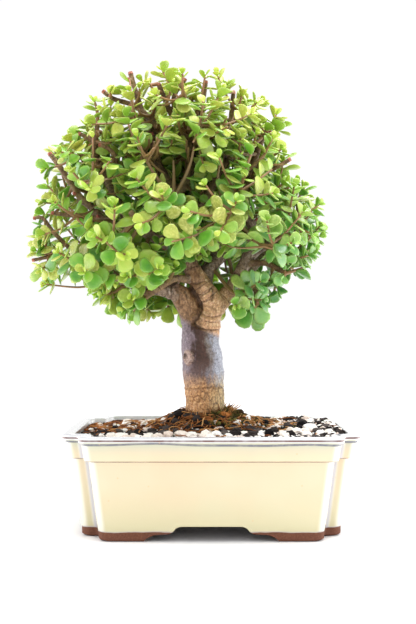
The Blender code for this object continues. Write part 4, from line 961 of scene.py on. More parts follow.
def bark_finish():
    """Thin smooth bark with a dull sheen: mauve-grey to blue-grey round the trunk with a brown patch
    down its middle and a painted highlight lightening its right side, tan and cracked at its foot,
    tan in the forks with painted shade on their left, painted shade in the creases, red-brown on
    thin branches"""
    bark, place = new_finish("living_bark")
    grain = node(bark, "Attribute", out="Color", attribute_name="grain")
    girth, along, pressed = (
        node(bark, "SeparateColor", [grain], out=part) for part in ("Red", "Green", "Blue"))
    x, height = (node(bark, "SeparateXYZ", [place], out=axis) for axis in "XZ")
    # Fibres run up the wood, so its streaks are drawn out along its height
    drawn_out, less = (
        node(bark, "VectorMath", (place, (1, 1, up)), operation="MULTIPLY") for up in (0.3, 0.45))
    fog, fleck, streak, fibre, speckle = (
        node(bark, "TexNoise", {"Vector": where, "Scale": scale, "Detail": detail, "Roughness": rough})
        for where, scale, detail, rough in (
            (place, 0.07, 5, 0.6), (place, 0.42, 6, 0.7), (drawn_out, 0.35, 5, 0.65), (less, 0.5, 5, 0.5),
            (place, 0.55, 5, 0.75)))
    # Across the trunk from its left edge to its right, in millimetres, stirred by the fog
    stir = node(bark, "MapRange", (node(bark, "Mix", {0: 0.45, 2: fog, 3: streak}), 0.25, 0.75, -10, 10))
    across = node(bark, "Math", (x, stir))
    side = node(bark, "MapRange", (across, -9, 30))
    lower = node(bark, "Math", (height, stir))
    tones = {name: node(bark, "ValToRGB", [reads], stops=stops) for name, reads, stops in (
        # Across the trunk: mauve-grey, the brown patch, then blue-grey growing lighter to the right, partly
        # bark colour and partly a painted highlight
        ("trunk", side, ((0.0, "#7f7079"), (0.22, "#715f66"), (0.34, "#351a10"), (0.58, "#452a20"),
                         (0.7, "#6c6058"), (0.84, "#8b8b96"), (1.0, "#a0a3af"))),
        ("low trunk", side, ((0.0, "#7c6f77"), (0.3, "#6b5758"), (0.55, "#644b44"), (0.75, "#767078"),
                             (1.0, "#9ca0ab"))),
        ("foot", fleck, ((0.3, "#5a3a25"), (0.42, "#a87547"), (0.56, "#cb9a68"), (0.75, "#e0bf96"))),
        ("shaded fork", fibre, ((0.3, "#5f422c"), (0.5, "#846040"), (0.7, "#a17e5a"))),
        ("fork", fibre, ((0.3, "#a27c5a"), (0.5, "#c99c74"), (0.7, "#dfbd9a"))),
        ("limb", fibre, ((0.3, "#5b4a3d"), (0.5, "#8a7460"), (0.7, "#a8978a"))),
        ("high limb", fog, ((0.3, "#4c3a26"), (0.5, "#6b5c34"), (0.7, "#84794a"))),
        ("thin branch", fog, ((0.3, "#553c2a"), (0.5, "#775a3a"), (0.7, "#9a825a"))),
        ("healed lip", fleck, ((0.35, "#8b6c5e"), (0.55, "#b3978a"), (0.7, "#c9b3a8"))),
    )}
    # Dark gaps between flakes of old bark, most of them on the right of the foot
    flakes = node(bark, "TexVoronoi", {"Vector": drawn_out, "Scale": 0.28}, feature="DISTANCE_TO_EDGE")
    gap = node(bark, "Math", (node(bark, "MapRange", (flakes, 0.1, 0.02, 0, 0.8)),
                              node(bark, "MapRange", (across, 6, 24, 0.2, 1))), operation="MULTIPLY")
    lean = node(bark, "Math", (x, 0.45, height), operation="MULTIPLY_ADD")
    # The knot's healed lip, with a ragged edge, and its dark hollow
    centre = KNOT_PLACE + KNOT_FACING * 3.5 + SHIFT
    to_knot, to_hole = (node(bark, "VectorMath", (place, centre + Vector(off)), operation="DISTANCE")
                        for off in ((0, 0, 0), (-3.0, 0.6, 1.2)))
    to_lip = node(bark, "Math", (to_knot, node(bark, "MapRange", (fleck, 0.3, 0.7, -1.6, 1.6))))
    # Rings across every branch, read along its length
    rings = node(bark, "TexNoise", {"W": node(bark, "Math", (along, 170), operation="MULTIPLY"),
                                    "Scale": 1.0, "Detail": 3.0}, noise_dimensions="1D")
    ring = node(bark, "Math", (node(bark, "MapRange", (rings, 0.42, 0.3)),
                               node(bark, "MapRange", (girth, 0.62, 0.5))), operation="MULTIPLY")
    skin = layered(
        bark, tones["trunk"],
        # The brown patch fades below the knot; the foot is tan and cracked, with moss on its right
        ((height, 152, 136), tones["low trunk"]),
        ((lower, 141, 124), layered(
            bark, tones["foot"], ((across, 14, 32, 0, 0.7), "#a09a6c"), (gap, "#4a3424"))),
        # Orange-brown above the last ring of the trunk, then grey-brown limbs and red-brown thin branches
        # The fork in two copies of one tan: painted shade on its left, painted light on its right past 8 mm
        # across
        ((lean, 182, 187), layered(bark, tones["shaded fork"], ((x, 8, 12), tones["fork"]))),
        ((girth, 0.42, 0.3), layered(bark, tones["limb"], ((height, 282, 304), tones["high limb"]))),
        ((girth, 0.24, 0.15), tones["thin branch"]),
        ((to_lip, 8.2, 6.4, 0, 0.85), tones["healed lip"]), ((to_hole, 4.6, 3.3), "#3a2820"),
        # Dark rings across the branches, and painted shade in the creases of the trunk
        ((ring, 0, 1, 0, 0.45), "#4b3327"), ((pressed, 0, 1, 0, 0.8), "#3a281c"),
    )
    # Bark is never even: small clouds, lighter and darker, over every colour, and fine dark pores
    clouds = node(bark, "MapRange", (speckle, 0.3, 0.7))
    skin = node(bark, "Mix", {0: 0.65, 6: skin, 7: clouds}, data_type="RGBA", blend_type="OVERLAY")
    skin = layered(bark, skin, ((fleck, 0.44, 0.3, 0, 0.6), "#45302a"))
    relief = node(bark, "Math", (node(bark, "Math", (fleck, 0.6), operation="MULTIPLY"), ring),
                  operation="SUBTRACT")
    return finished(bark, {"Base Color": skin, "Roughness": 0.62}, relief, 0.8, 0.7)


piece("trunk_wood", barked(grown_wood()), bark_finish(), "bark", "trunk_and_branches", sharp=75)


def cut_finish():
    """Cut across a shoot, dried: orange-red and matt, browner where the bark closes over it"""
    cut, place = new_finish("dried_cut_of_shoot")
    grain = node(cut, "TexNoise", {"Vector": place, "Scale": 0.6, "Detail": 4.0})
    flesh = node(cut, "ValToRGB", [grain], stops=((0.3, "#7a3c30"), (0.5, "#a65c4a"), (0.7, "#c48c74")))
    return finished(cut, {"Base Color": flesh, "Roughness": 0.75})


def cut_ends():
    """A low disc on the end of each shoot that was cut back and of each branch that ends in a cut"""
    shape = bmesh.new()
    for points, radii in CUT_LINES + STUB_LINES + WOOD_LINES[4:]:
        hidden = points[-1].z < 250 and abs(points[-1].x) < 60
        if hidden or radii[-1] > 2.7 and len(points) > 2:
            continue
        out = (points[-1] - points[-2]).normalized()
        size = radii[-1] * 0.92
        disc = bmesh.ops.create_cone(shape, cap_ends=True, segments=12, radius1=size * 1.1,
                                     radius2=size * 0.85, depth=2.4)["verts"]
        bmesh.ops.rotate(shape, cent=(0, 0, 0), matrix=out.to_track_quat("Z", "Y").to_matrix(), verts=disc)
        bmesh.ops.translate(shape, vec=points[-1] - out * 0.5, verts=disc)
    return shape


piece("cut_ends", cut_ends(), cut_finish(), "bark", "trunk_and_branches", sharp=40)


# Sprays
# Thin red-brown twigs that grew from the branches, with pairs of fleshy leaves, each pair turned a
# quarter from the last. Leaves are widest past their middle and smaller towards the tips and the top.

CROWN_MIDDLE = Vector((-29.0, 0.0, 275.0))
CROWN_DEPTH_SHARE = 0.88
SPRAY_COUNT = 56
SPRAY_TURN = 0.7
TIP_TURN = 2.1
OUTER_TIPS = 195
OUTER_SHARES = (0.9, 0.97)
INNER_TIPS = 110
INNER_SHARES = (0.35, 0.74)
HUB_SHARE = 0.98
FORK_SHARES = (0.5, 0.7, 0.35, 0.85)
TWIG_LEAST = 14.0
SHOOT_LEAST = 12.0
LOWEST_TIP = 188.0
CROWN_TOP = 415.0
UPWARD = 0.75
LIGHT_TURN = 0.6
TRUNK_CLEAR = 46.0
TRUNK_BARE_TOP = 240.0
# Side of the cells that the search for crossings uses
CELL = 24.0
GAP = 0.3
SEAT_GAP = 0.25
SEAT_STEP = 0.2
SEAT_STEPS = 60
TWIG_RADII = (2.0, 0.9)
SHOOT_RADII = (1.3, 0.8)
LEAF_LENGTHS = (6.5, 11.0, 14.0, 15.5, 16.5, 17.0)
LEAF_TILTS = (28, 48, 62, 70, 76, 80)
LEAF_STEPS = (0.0, 3.4, 8.2, 14.0, 20.5, 27.5)

# Outline of the crown from the front: angle in degrees from the right, distance from its middle
CROWN_OUTLINE = (
    (0, 143), (14, 128), (27, 119), (47, 133), (64, 142), (90, 152), (108, 152), (127, 134),
    (141, 128), (151, 146), (166, 131), (180, 134), (194, 148), (202, 150), (212, 104), (231, 104),
    (246, 97), (264, 80), (280, 58), (295, 74), (308, 117), (331, 109), (341, 122), (351, 138),
)
# The photograph's viewpoint, and how many shoots the solids lack and how far out they end
VIEWPOINT = Vector((-2.9, -932.0, 192.0))
INNER_SHOOTS = 210
INNER_SHOOT_SHARES = (0.3, 0.72)
TOP_SHOOT_SHARES = (0.6, 0.88)
# Places at the crown's edge where the photograph shows leaves: across and up
EDGE_TIPS = (
    (-84, 398), (-64, 409), (-66, 400), (-29, 411), (-8, 403), (14, 403), (47, 388), (60, 377), (68, 369),
    (-92, 394), (-106, 386), (-128, 358), (-153, 343), (-146, 336), (-157, 286), (85, 308), (92, 287),
    (99, 264), (60, 213), (56, 222), (85, 236), (42, 192), (48, 202),
)
# Rosettes that stand in front of the upper crown: across, forward, up
FRONT_TIPS = (
    (-55, -42, 347), (-34, -45, 349), (-30, -28, 372), (2, -28, 369), (-33, -50, 327), (-65, -42, 329),
    (-77, -34, 337), (18, -34, 358), (-12, -40, 350), (40, -34, 352), (-48, -30, 365), (62, -28, 340),
    (24, -46, 330), (-90, -26, 352), (-4, -20, 384), (30, -18, 376), (-66, -20, 378), (-18, -14, 394),
    (52, -20, 366), (-40, -12, 392), (8, -44, 338), (-20, -52, 338),
)
BOX_MARGIN = 2.0
# Limbs that show between the leaves: branch, and its first and last place that shows
SHOWN_LIMBS = (
    ("top_stub", 0, 2), ("top_left", 1, 4), ("crown_left", 3, 4), ("crown_right", 2, 3),
    ("crown_far_right", 2, 3), ("right_upright", 4, 7), ("right_arm", 1, 5), ("left_arm", 1, 4),
    ("middle_upright", 2, 5), ("left_upright", 0, 3), ("left_reach", 1, 6), ("cut_stem", 1, 3),
    ("right_reach", 1, 3), ("right_low", 1, 3), ("left_thin", 0, 3),
)
# Places beside the crown where the photograph shows no leaves, as seen: x from and to, height from and to
OPEN_PLACES = (
    (-170, -143, 150, 216), (-143, -113, 150, 227), (-113, -100, 150, 196),
)
# Leafless places in front of the fork and of the upper limbs: x from and to, height from and to,
# and how far forward of the trunk each begins
BARE_PLACES = (
    (-60, -30, 150, 220, 12), (-30, 20, 150, 243, 12), (18, 38, 226, 250, 4), (-40, -14, 292, 336, -6),
)


def ways_round(ahead, sides):
    """Directions spread evenly round an axis"""
    across = ahead.orthogonal().normalized()
    other = ahead.cross(across)
    turns = [math.tau * side / sides for side in range(sides)]
    return [across * math.cos(turn) + other * math.sin(turn) for turn in turns]


def tube_shape(ends, radii, sides=6):
    """Corners and faces of a plain tube, used only to test what twigs and leaves must stay clear of"""
    ways = ways_round((ends[1] - ends[0]).normalized(), sides)
    corners = [end + way * radius for end, radius in zip(ends, radii) for way in ways]
    faces = [(side, (side + 1) % sides, (side + 1) % sides + sides, side + sides) for side in range(sides)]
    return corners, faces


def leaf_point(point, leaf, start=0.0, swell=0.0):
    """Moves a point of a unit ball to the fleshy leaf: egg-shaped, widest past its middle"""
    length, width, thick = leaf["length"], leaf["width"] + 2 * swell, leaf["thick"] + 2 * swell
    flat = math.hypot(point.x, point.y)
    toward_tip = point.x / flat if flat > 1e-6 else 0.0
    sideways = point.y / flat if flat > 1e-6 else 0.0
    middle = 0.56 * length
    along = middle + (length * (0.5 + 0.5 * toward_tip) - middle) * flat
    across = 0.6 * width * sideways * (0.74 + 0.40 * toward_tip) * flat
    cup = leaf["cup"] * across * across / width
    arch = -leaf["arch"] * along * along / length
    along = start + along * (length - start + swell) / length
    return Vector((along, across, 0.5 * thick * point.z + cup + arch))


def leaf_shape(leaf, start=0.0, swell=0.0):
    """Corners and faces of a leaf with seven sides, in place"""
    ring = [math.pi + math.tau * step / 7 for step in range(7)]
    corners = [Vector((math.cos(turn), math.sin(turn), 0.0)) for turn in ring]
    corners += [Vector((0, 0, 1)), Vector((0, 0, -1))]
    placed = [leaf["place"] @ leaf_point(corner, leaf, start, swell) for corner in corners]
    faces = [(step, (step + 1) % 7, 7) for step in range(7)]
    faces += [((step + 1) % 7, step, 8) for step in range(7)]
    return placed, faces


def crown_radius(direction):
    """Distance from the crown's middle to its surface along a direction"""
    flat = math.hypot(direction.x, direction.y)
    lift = math.degrees(math.atan2(direction.z, flat))
    right = outline_distance(lift % 360)
    left = outline_distance((180 - lift) % 360)
    share = 0.5 + 0.5 * direction.x / max(flat, 1e-6)
    deep = abs(direction.y)
    return (left + (right - left) * share) * (1 - (1 - CROWN_DEPTH_SHARE) * deep * deep)


def outline_distance(angle):
    """Distance of the crown's outline from its middle at one angle, between the listed ones"""
    points = CROWN_OUTLINE + ((360, CROWN_OUTLINE[0][1]),)
    for (first, near), (last, far) in zip(points, points[1:]):
        if first <= angle <= last:
            return near + (far - near) * (angle - first) / (last - first)
    return points[0][1]


def spiral(count, turn=0.0):
    """Directions spread evenly over a ball, on a spiral from its bottom to its top"""
    directions = []
    for index in range(count):
        height = -1 + (2 * index + 1) / count
        around = turn + index * math.pi * (3 - math.sqrt(5))
        flat = math.sqrt(1 - height * height)
        directions.append(Vector((flat * math.cos(around), flat * math.sin(around), height)))
    return directions


def crown_place(direction, share):
    """Place in the crown along a direction, or nothing where bare wood and air are"""
    place = CROWN_MIDDLE + direction * crown_radius(direction) * share
    beside_trunk = math.hypot(place.x - TRUNK_X, place.y) < TRUNK_CLEAR
    if place.z < LOWEST_TIP or (place.z < TRUNK_BARE_TOP and beside_trunk) or is_bare(place):
        return None
    return place


def is_bare(place):
    """Whether a place is one where the photographed tree shows wood and no leaves"""
    return any(left < place.x < right and low < place.z < high and place.y < front
               for left, right, low, high, front in BARE_PLACES)


def rising(place):
    """Way in which a twig's end points: out of the crown and up to the light"""
    return ((place - CROWN_MIDDLE).normalized() + Vector((0, 0, UPWARD))).normalized()


def bend(start, middle, end, parts):
    """Points along a smooth bend from start to end, drawn towards middle"""
    points = []
    for index in range(parts + 1):
        t = index / parts
        points.append(start * (1 - t) ** 2 + middle * 2 * t * (1 - t) + end * t * t)
    return points


def stretches(points, radii):
    """A tube in stretches of half a cell at most: the middle and the plain shape of each"""
    for start, end, *widths in zip(points, points[1:], radii, radii[1:]):
        span = end - start
        steps = max(1, math.ceil(span.length / (CELL / 2)))
        for step in range(steps):
            ends = [start + span * (part / steps) for part in (step, step + 1)]
            yield (ends[0] + ends[1]) / 2, tube_shape(ends, widths)


class Neighbours:
    """Keeps what has grown so far in cells of space, to ask what a new piece would cross"""

    def __init__(self):
        self.cells = {}

    def cell(self, place):
        return tuple(int(math.floor(part / CELL)) for part in place)

    def add(self, place, shape, owner):
        self.cells.setdefault(self.cell(place), []).append((BVHTree.FromPolygons(*shape), owner))

    def add_tube(self, points, radii, owner):
        for place, shape in stretches(points, radii):
            self.add(place, shape, owner)

    def crosses(self, place, shape, owner):
        tree = BVHTree.FromPolygons(*shape)
        x, y, z = self.cell(place)
        for cell in ((x + i, y + j, z + k) for i in (-1, 0, 1) for j in (-1, 0, 1) for k in (-1, 0, 1)):
            for other, other_owner in self.cells.get(cell, ()):
                if other_owner != owner and tree.overlap(other):
                    return True
        return False

    def tube_crosses(self, points, radii, owner):
        return any(self.crosses(place, shape, owner) for place, shape in stretches(points, radii))


def wood_seats():
    """Places along the branches where a twig may start, with the branch's radius there"""
    return [(start.lerp(end, share), low + (high - low) * share)
            for points, radii in WOOD_LINES[1:]
            for start, end, low, high in zip(points, points[1:], radii, radii[1:])
            for share in (0.35, 0.7, 1.0)]


def outside_wood(place, spans):
    """Distance of a place from the round wood, below nothing when the place is inside it"""
    nearest = math.inf
    for start, end, low, high, is_tip in spans:
        span = end - start
        share = (place - start).dot(span) / span.length_squared
        if is_tip and share > 1:
            beyond = (share - 1) * span.length
            beside = (place - start - span * share).length - high
            away = math.hypot(beyond, max(beside, 0))
        else:
            share = min(max(share, 0), 1)
            away = (place - start - span * share).length - low - (high - low) * share
        nearest = min(nearest, away)
    return nearest


def main_twig(seat, radius, tip, spans):
    """Twig from a seat in a branch out to its tip, its end face brought to lie just off the bark"""
    way = (tip - seat).normalized()
    for step in range(SEAT_STEPS):
        start = seat + way * (radius * 0.6 + step * SEAT_STEP)
        middle = tip - rising(tip) * (tip - start).length * 0.45
        points = bend(start, middle, tip, 3)
        ahead = (points[1] - start).normalized()
        face = [start + out * TWIG_RADII[0] for out in ways_round(ahead, 8)]
        if min(outside_wood(corner + ahead * far, spans) for corner in face for far in (0, 3, 7)) > SEAT_GAP:
            return points
    return None


def twig_from_wood(grown, spans, seats, hub, tip, owner):
    """Main twig of a spray: it starts just off the nearest branch that gives it a clear way out"""
    outward = (hub - CROWN_MIDDLE).normalized()

    def cost(seat):
        way = hub - seat[0]
        back = 1 - way.normalized().dot(outward) if way.length > 1 else 0
        return way.length + 22 * back + 2.5 * max(0, seat[1] - 5)

    for seat, radius in sorted(seats, key=cost)[:40]:
        near = [span for span in spans if outside_wood(seat, [span]) < SEAT_STEPS * SEAT_STEP + 12]
        points = main_twig(seat, radius, tip, near)
        if not points or (tip - points[0]).length < TWIG_LEAST:
            continue
        radii = [TWIG_RADII[0] + (TWIG_RADII[1] - TWIG_RADII[0]) * part / 3 for part in range(4)]
        wide = [radius + GAP for radius in radii]
        off_bark = points[0] + (points[1] - points[0]).normalized() * 2 * GAP
        if not grown.tube_crosses([off_bark] + points[1:], wide, owner):
            return points, radii, seat
    return None


def side_shoot(grown, points, share, tip, owner):
    """Shoot that leaves the main twig part of the way along and ends at its own tip"""
    span = share * (len(points) - 1)
    index = min(int(span), len(points) - 2)
    start = points[index].lerp(points[index + 1], span - index)
    ahead = (points[index + 1] - points[index]).normalized()
    length = (tip - start).length
    if length < SHOOT_LEAST:
        return None
    middle = (start + ahead * length * 0.4).lerp(tip - rising(tip) * length * 0.5, 0.6)
    path = bend(start, middle, tip, 2)
    radii = [SHOOT_RADII[0] + (SHOOT_RADII[1] - SHOOT_RADII[0]) * part / 2 for part in range(3)]
    wide = [radius + GAP for radius in radii]
    if grown.tube_crosses([start + (path[1] - start) * 0.3] + path[1:], wide, owner):
        return None
    return path, radii


def leaf_place(joint, ahead, side, tilt, radius, light):
    """Placing of a leaf: its stalk end in the twig, its face turned a little to the light"""
    lean = math.radians(tilt)
    along = (ahead * math.cos(lean) + side * math.sin(lean)).normalized()
    face = ahead * math.sin(lean) - side * math.cos(lean) + light
    face = (face - along * face.dot(along)).normalized()
    placing = Matrix((along, face.cross(along), face)).transposed().to_4x4()
    placing.translation = joint + side * radius * 0.25
    return placing


def leaf_growth(height):
    """Leaves are larger low in the crown and smaller at its top"""
    share = min(max((height - LOWEST_TIP) / (CROWN_TOP - LOWEST_TIP), 0), 1)
    return 1.14 - 0.34 * share


def joints_along(points, radii):
    """Leaf joints from a twig's tip inwards: place, direction and radius, while the twig lasts"""
    total = sum((b - a).length for a, b in zip(points, points[1:]))
    for rank, back in enumerate(LEAF_STEPS):
        want = total - back
        if want < 5:
            return
        gone = 0.0
        for index in range(len(points) - 1):
            span = (points[index + 1] - points[index]).length
            if gone + span >= want - 1e-6:
                share = (want - gone) / span
                place = points[index].lerp(points[index + 1], share)
                ahead = (points[index + 1] - points[index]).normalized()
                yield rank, place, ahead, radii[index] + (radii[index + 1] - radii[index]) * share
                break
            gone += span


def seen(place):
    """Where a place appears on the plane through the trunk, from the viewpoint of the photograph"""
    return VIEWPOINT + (place - VIEWPOINT) * (VIEWPOINT.y / (VIEWPOINT.y - place.y))


def shown_spans():
    """Lengths of wood that show between the leaves: their ends as seen, how far back and how wide"""
    spans = []
    for name, first, last in SHOWN_LIMBS:
        spans += zip(BRANCHES[name][first:last], BRANCHES[name][first + 1:last + 1])
    for line in CUT_SHOOTS:
        spans += zip(line[1:], line[2:])
    return [(seen(Vector(start[:3])), seen(Vector(end[:3])), max(start[1], end[1]), start[3])
            for start, end in spans]


def in_open(place):
    """Whether a place appears where the photograph shows nothing beside the crown"""
    at = seen(place)
    return any(left < at.x < right and low < at.z < high for left, right, low, high in OPEN_PLACES)


def stands_free(leaf, centre, shown):
    """Whether a leaf hides no wood that shows in the photograph and stays within the solids' box"""
    tip = (leaf["place"] @ Vector((leaf["length"], 0, 0)) + SHIFT) * MM
    margin = BOX_MARGIN * MM
    if any(not low - margin < part < high + margin for part, low, high in zip(tip, *solid_box)):
        return False
    if in_open(centre):
        return False
    at = seen(centre)
    return all(centre.y >= back or near_span(at, start, end).length >= wide + 0.25 * leaf["length"]
               for start, end, back, wide in shown)


def grow_leaves(grown, twig, spray, shoot, shown=None, held=()):
    """Pairs of leaves along a twig, each pair turned a quarter from the last, none through another"""
    points, radii = twig
    draw = random.Random(spray * 1000 + shoot)
    turn = draw.uniform(0, math.tau)
    lean_to = Vector((draw.uniform(-1, 1), draw.uniform(-1, 1), draw.uniform(-1, 1))).normalized()
    leaves = []
    for rank, joint, ahead, radius in joints_along(points, radii):
        outward = (joint - CROWN_MIDDLE).normalized()
        light = (outward * 0.6 + Vector((0, 0, 1.0))) * LIGHT_TURN
        if shown is not None:
            height = min(max((joint.z - 250) / 120, 0), 1)
            light = (outward * (1.0 - 0.65 * height) + Vector((0, 0, 1.0))) * (0.9 + 0.9 * height)
        across = ahead.cross(lean_to).normalized()
        other = ahead.cross(across)
        for half in (0, 1):
            if (rank, half) in held:
                continue
            chance = random.Random((spray * 1000 + shoot) * 100 + rank * 2 + half)
            size = LEAF_LENGTHS[rank] * chance.uniform(0.84, 1.18) * leaf_growth(joint.z)
            if shown is not None:
                size *= 1 + height * (0.32 if rank < 2 else 0.16)
            leaf = {
                "length": size, "width": size * chance.uniform(0.72, 0.88), "thick": 1.1 + 0.05 * size,
                "cup": chance.uniform(0.05, 0.5), "arch": chance.uniform(-0.02, 0.14),
                "rank": rank, "half": half, "shoot": shoot, "tint": chance.random(),
                "foot": radius + 0.9,
            }
            sway = chance.uniform(-0.25, 0.25)
            tilt = LEAF_TILTS[rank] + chance.uniform(-9, 9)
            for more, less, share in ((0, 0, 1), (0.35, 0, 1), (-0.35, 0, 1), (0, -16, 0.94),
                                      (0, 14, 0.9), (0.6, -8, 0.85), (-0.6, -8, 0.85), (0, -28, 0.8)):
                angle = turn + rank * math.pi / 2 + half * math.pi + sway + more
                side = (across * math.cos(angle) + other * math.sin(angle)).normalized()
                leaf["place"] = leaf_place(joint, ahead, side, tilt + less, radius, light)
                leaf["length"] = size * share
                shape = leaf_shape(leaf, start=radius + 0.9, swell=0.25)
                centre = leaf["place"] @ Vector((leaf["length"] * 0.55, 0, 0))
                if shown is not None and not stands_free(leaf, centre, shown):
                    continue
                if not is_bare(centre) and not grown.crosses(centre, shape, None):
                    grown.add(centre, leaf_shape(leaf, start=radius + 0.9, swell=0.15), "leaf")
                    leaves.append(leaf)
                    break
    return leaves


def grow_crown():
    """Every spray of the crown as its twigs and leaves"""
    grown = Neighbours()
    spans = []
    for points, radii in WOOD_LINES:
        grown.add_tube(points, radii, "wood")
        tips = [False] * (len(points) - 2) + [True]
        spans += zip(points, points[1:], radii, radii[1:], tips)
    seats = wood_seats()

    hubs = [way for way in spiral(SPRAY_COUNT, SPRAY_TURN) if crown_place(way, HUB_SHARE)]
    tips = {index: [] for index in range(len(hubs))}
    draw = random.Random(11)
    for count, shares in ((OUTER_TIPS, OUTER_SHARES), (INNER_TIPS, INNER_SHARES)):
        for way in spiral(count, TIP_TURN):
            place = crown_place(way, draw.uniform(*shares))
            if place:
                nearest = max(range(len(hubs)), key=lambda index: hubs[index].dot(way))
                tips[nearest].append(place)

    sprays = []
    for index, hub_way in enumerate(hubs):
        hub = crown_place(hub_way, HUB_SHARE)
        centre = CROWN_MIDDLE.lerp(hub, 0.7)
        ends = sorted(tips[index], key=lambda tip: (tip - hub).length)
        main = None
        for tip in ends[:3]:
            main = twig_from_wood(grown, spans, seats, centre, tip, index)
            if main:
                ends.remove(tip)
                break
        if not main:
            continue
        points, radii, seat = main
        grown.add_tube(points, radii, index)
        twigs = [(points, radii)]
        for order, tip in enumerate(ends):
            for share in (FORK_SHARES[0] + 0.08 * (order % 4),) + FORK_SHARES[1:]:
                shoot = side_shoot(grown, points, share, tip, index)
                if shoot:
                    grown.add_tube(*shoot, index)
                    twigs.append(shoot)
                    break
        sprays.append({"index": index, "twigs": twigs, "leaves": [], "seat": seat})
    for spray in sprays:
        for shoot, twig in enumerate(spray["twigs"]):
            spray["leaves"] += grow_leaves(grown, twig, spray["index"], shoot)
    return sprays, grown, seats


def in_solid(leaf, last):
    """Whether the solids have a leaf: pairs near the tips of the main twig and of its farthest shoot"""
    if leaf["shoot"] == 0:
        return leaf["rank"] == 1 or (leaf["rank"] == 3 and leaf["half"] == 0)
    return leaf["shoot"] == last and leaf["rank"] == 1


def shoot_places():
    """Where the extra shoots end: at the crown's edge, near its top, behind its middle and deep in it"""
    draw = random.Random(53)
    for x, z in EDGE_TIPS:
        yield Vector((x, draw.uniform(-14, 10), z))
    for place in FRONT_TIPS:
        yield Vector(place)
    for number in range(INNER_SHOOTS):
        way = Vector((draw.gauss(0, 1), draw.gauss(0, 1), draw.gauss(0, 1)))
        shares = INNER_SHOOT_SHARES
        if number % 3 == 1:
            way.z = abs(way.z) + 0.8
            shares = TOP_SHOOT_SHARES
        place = crown_place(way.normalized(), draw.uniform(*shares))
        if number % 3 == 0:
            place = Vector((draw.uniform(-62, 12), draw.uniform(14, 56), draw.uniform(282, 362)))
        if place:
            yield place


def extra_shoots(grown, seats):
    """Leafy shoots that the solids lack, each from the nearest wood that gives it a clear way"""
    shoots = []
    for number, place in enumerate(shoot_places()):
        for seat, radius in sorted(seats, key=lambda seat: (seat[0] - place).length)[:6]:
            points = bend(seat, place - rising(place) * (place - seat).length * 0.4, place, 3)
            radii = [TWIG_RADII[0] + (TWIG_RADII[1] - TWIG_RADII[0]) * part / 3 for part in range(4)]
            off_bark = seat + (points[1] - seat).normalized() * (radius + 2.5)
            if (place - seat).length > radius + SHOOT_LEAST and not grown.tube_crosses(
                    [off_bark] + points[2:], radii[1:], 1000 + number):
                grown.add_tube([off_bark] + points[2:], radii[1:], 1000 + number)
                shoots.append((points, radii))
                break
    return shoots


def dressed_crown():
    """The crown with the solids' leaves as they are, all others turned to the light, and inner shoots"""
    sprays, grown, seats = grow_crown()
    shown = shown_spans()
    free = Neighbours()
    for cell, held in grown.cells.items():
        free.cells[cell] = [entry for entry in held if entry[1] != "leaf"]
    for points, radii in CUT_LINES:
        free.add_tube(points, radii, "wood")
    for spray in sprays:
        last = len(spray["twigs"]) - 1
        spray["leaves"] = [leaf for leaf in spray["leaves"] if in_solid(leaf, last)]
        for leaf in spray["leaves"]:
            centre = leaf["place"] @ Vector((leaf["length"] * 0.55, 0, 0))
            free.add(centre, leaf_shape(leaf, start=leaf["foot"], swell=0.15), "leaf")
    inner = {"twigs": [], "leaves": []}
    shoots = extra_shoots(free, seats)
    for spray in sprays:
        last = len(spray["twigs"]) - 1
        spray["drawn"] = [twig for shoot, twig in enumerate(spray["twigs"])
                          if shoot in (0, last) or not in_open(twig[0][-1])]
        for shoot, twig in enumerate(spray["twigs"]):
            if twig in spray["drawn"]:
                held = {(leaf["rank"], leaf["half"]) for leaf in spray["leaves"] if leaf["shoot"] == shoot}
                spray["leaves"] += grow_leaves(free, twig, spray["index"], shoot, shown, held)
    for number, (points, radii) in enumerate(shoots):
        inner["twigs"].append((points, radii))
        leaves = grow_leaves(free, (points, radii), 500 + number, 0, shown)
        # Their leaves take deeper greens, partly as painted shade for the inside of the crown
        for leaf in leaves:
            leaf["tint"] *= 0.75
        inner["leaves"] += leaves
    return sprays, inner


def add_leaf(whole, leaf):
    """One fleshy leaf: a ball drawn out to the leaf's outline, with its tone and age kept on it"""
    made, layer = toned_shape()
    bmesh.ops.create_uvsphere(made, u_segments=12, v_segments=6, radius=1)
    for corner in made.verts:
        flat = math.hypot(corner.co.x, corner.co.y)
        mapped = leaf_point(Vector((-corner.co.x, corner.co.y, corner.co.z)), leaf)
        corner.co = leaf["place"] @ mapped
        corner[layer] = (leaf["tint"], leaf["rank"] / 5, flat ** 4, 1)
    add_to(whole, made)


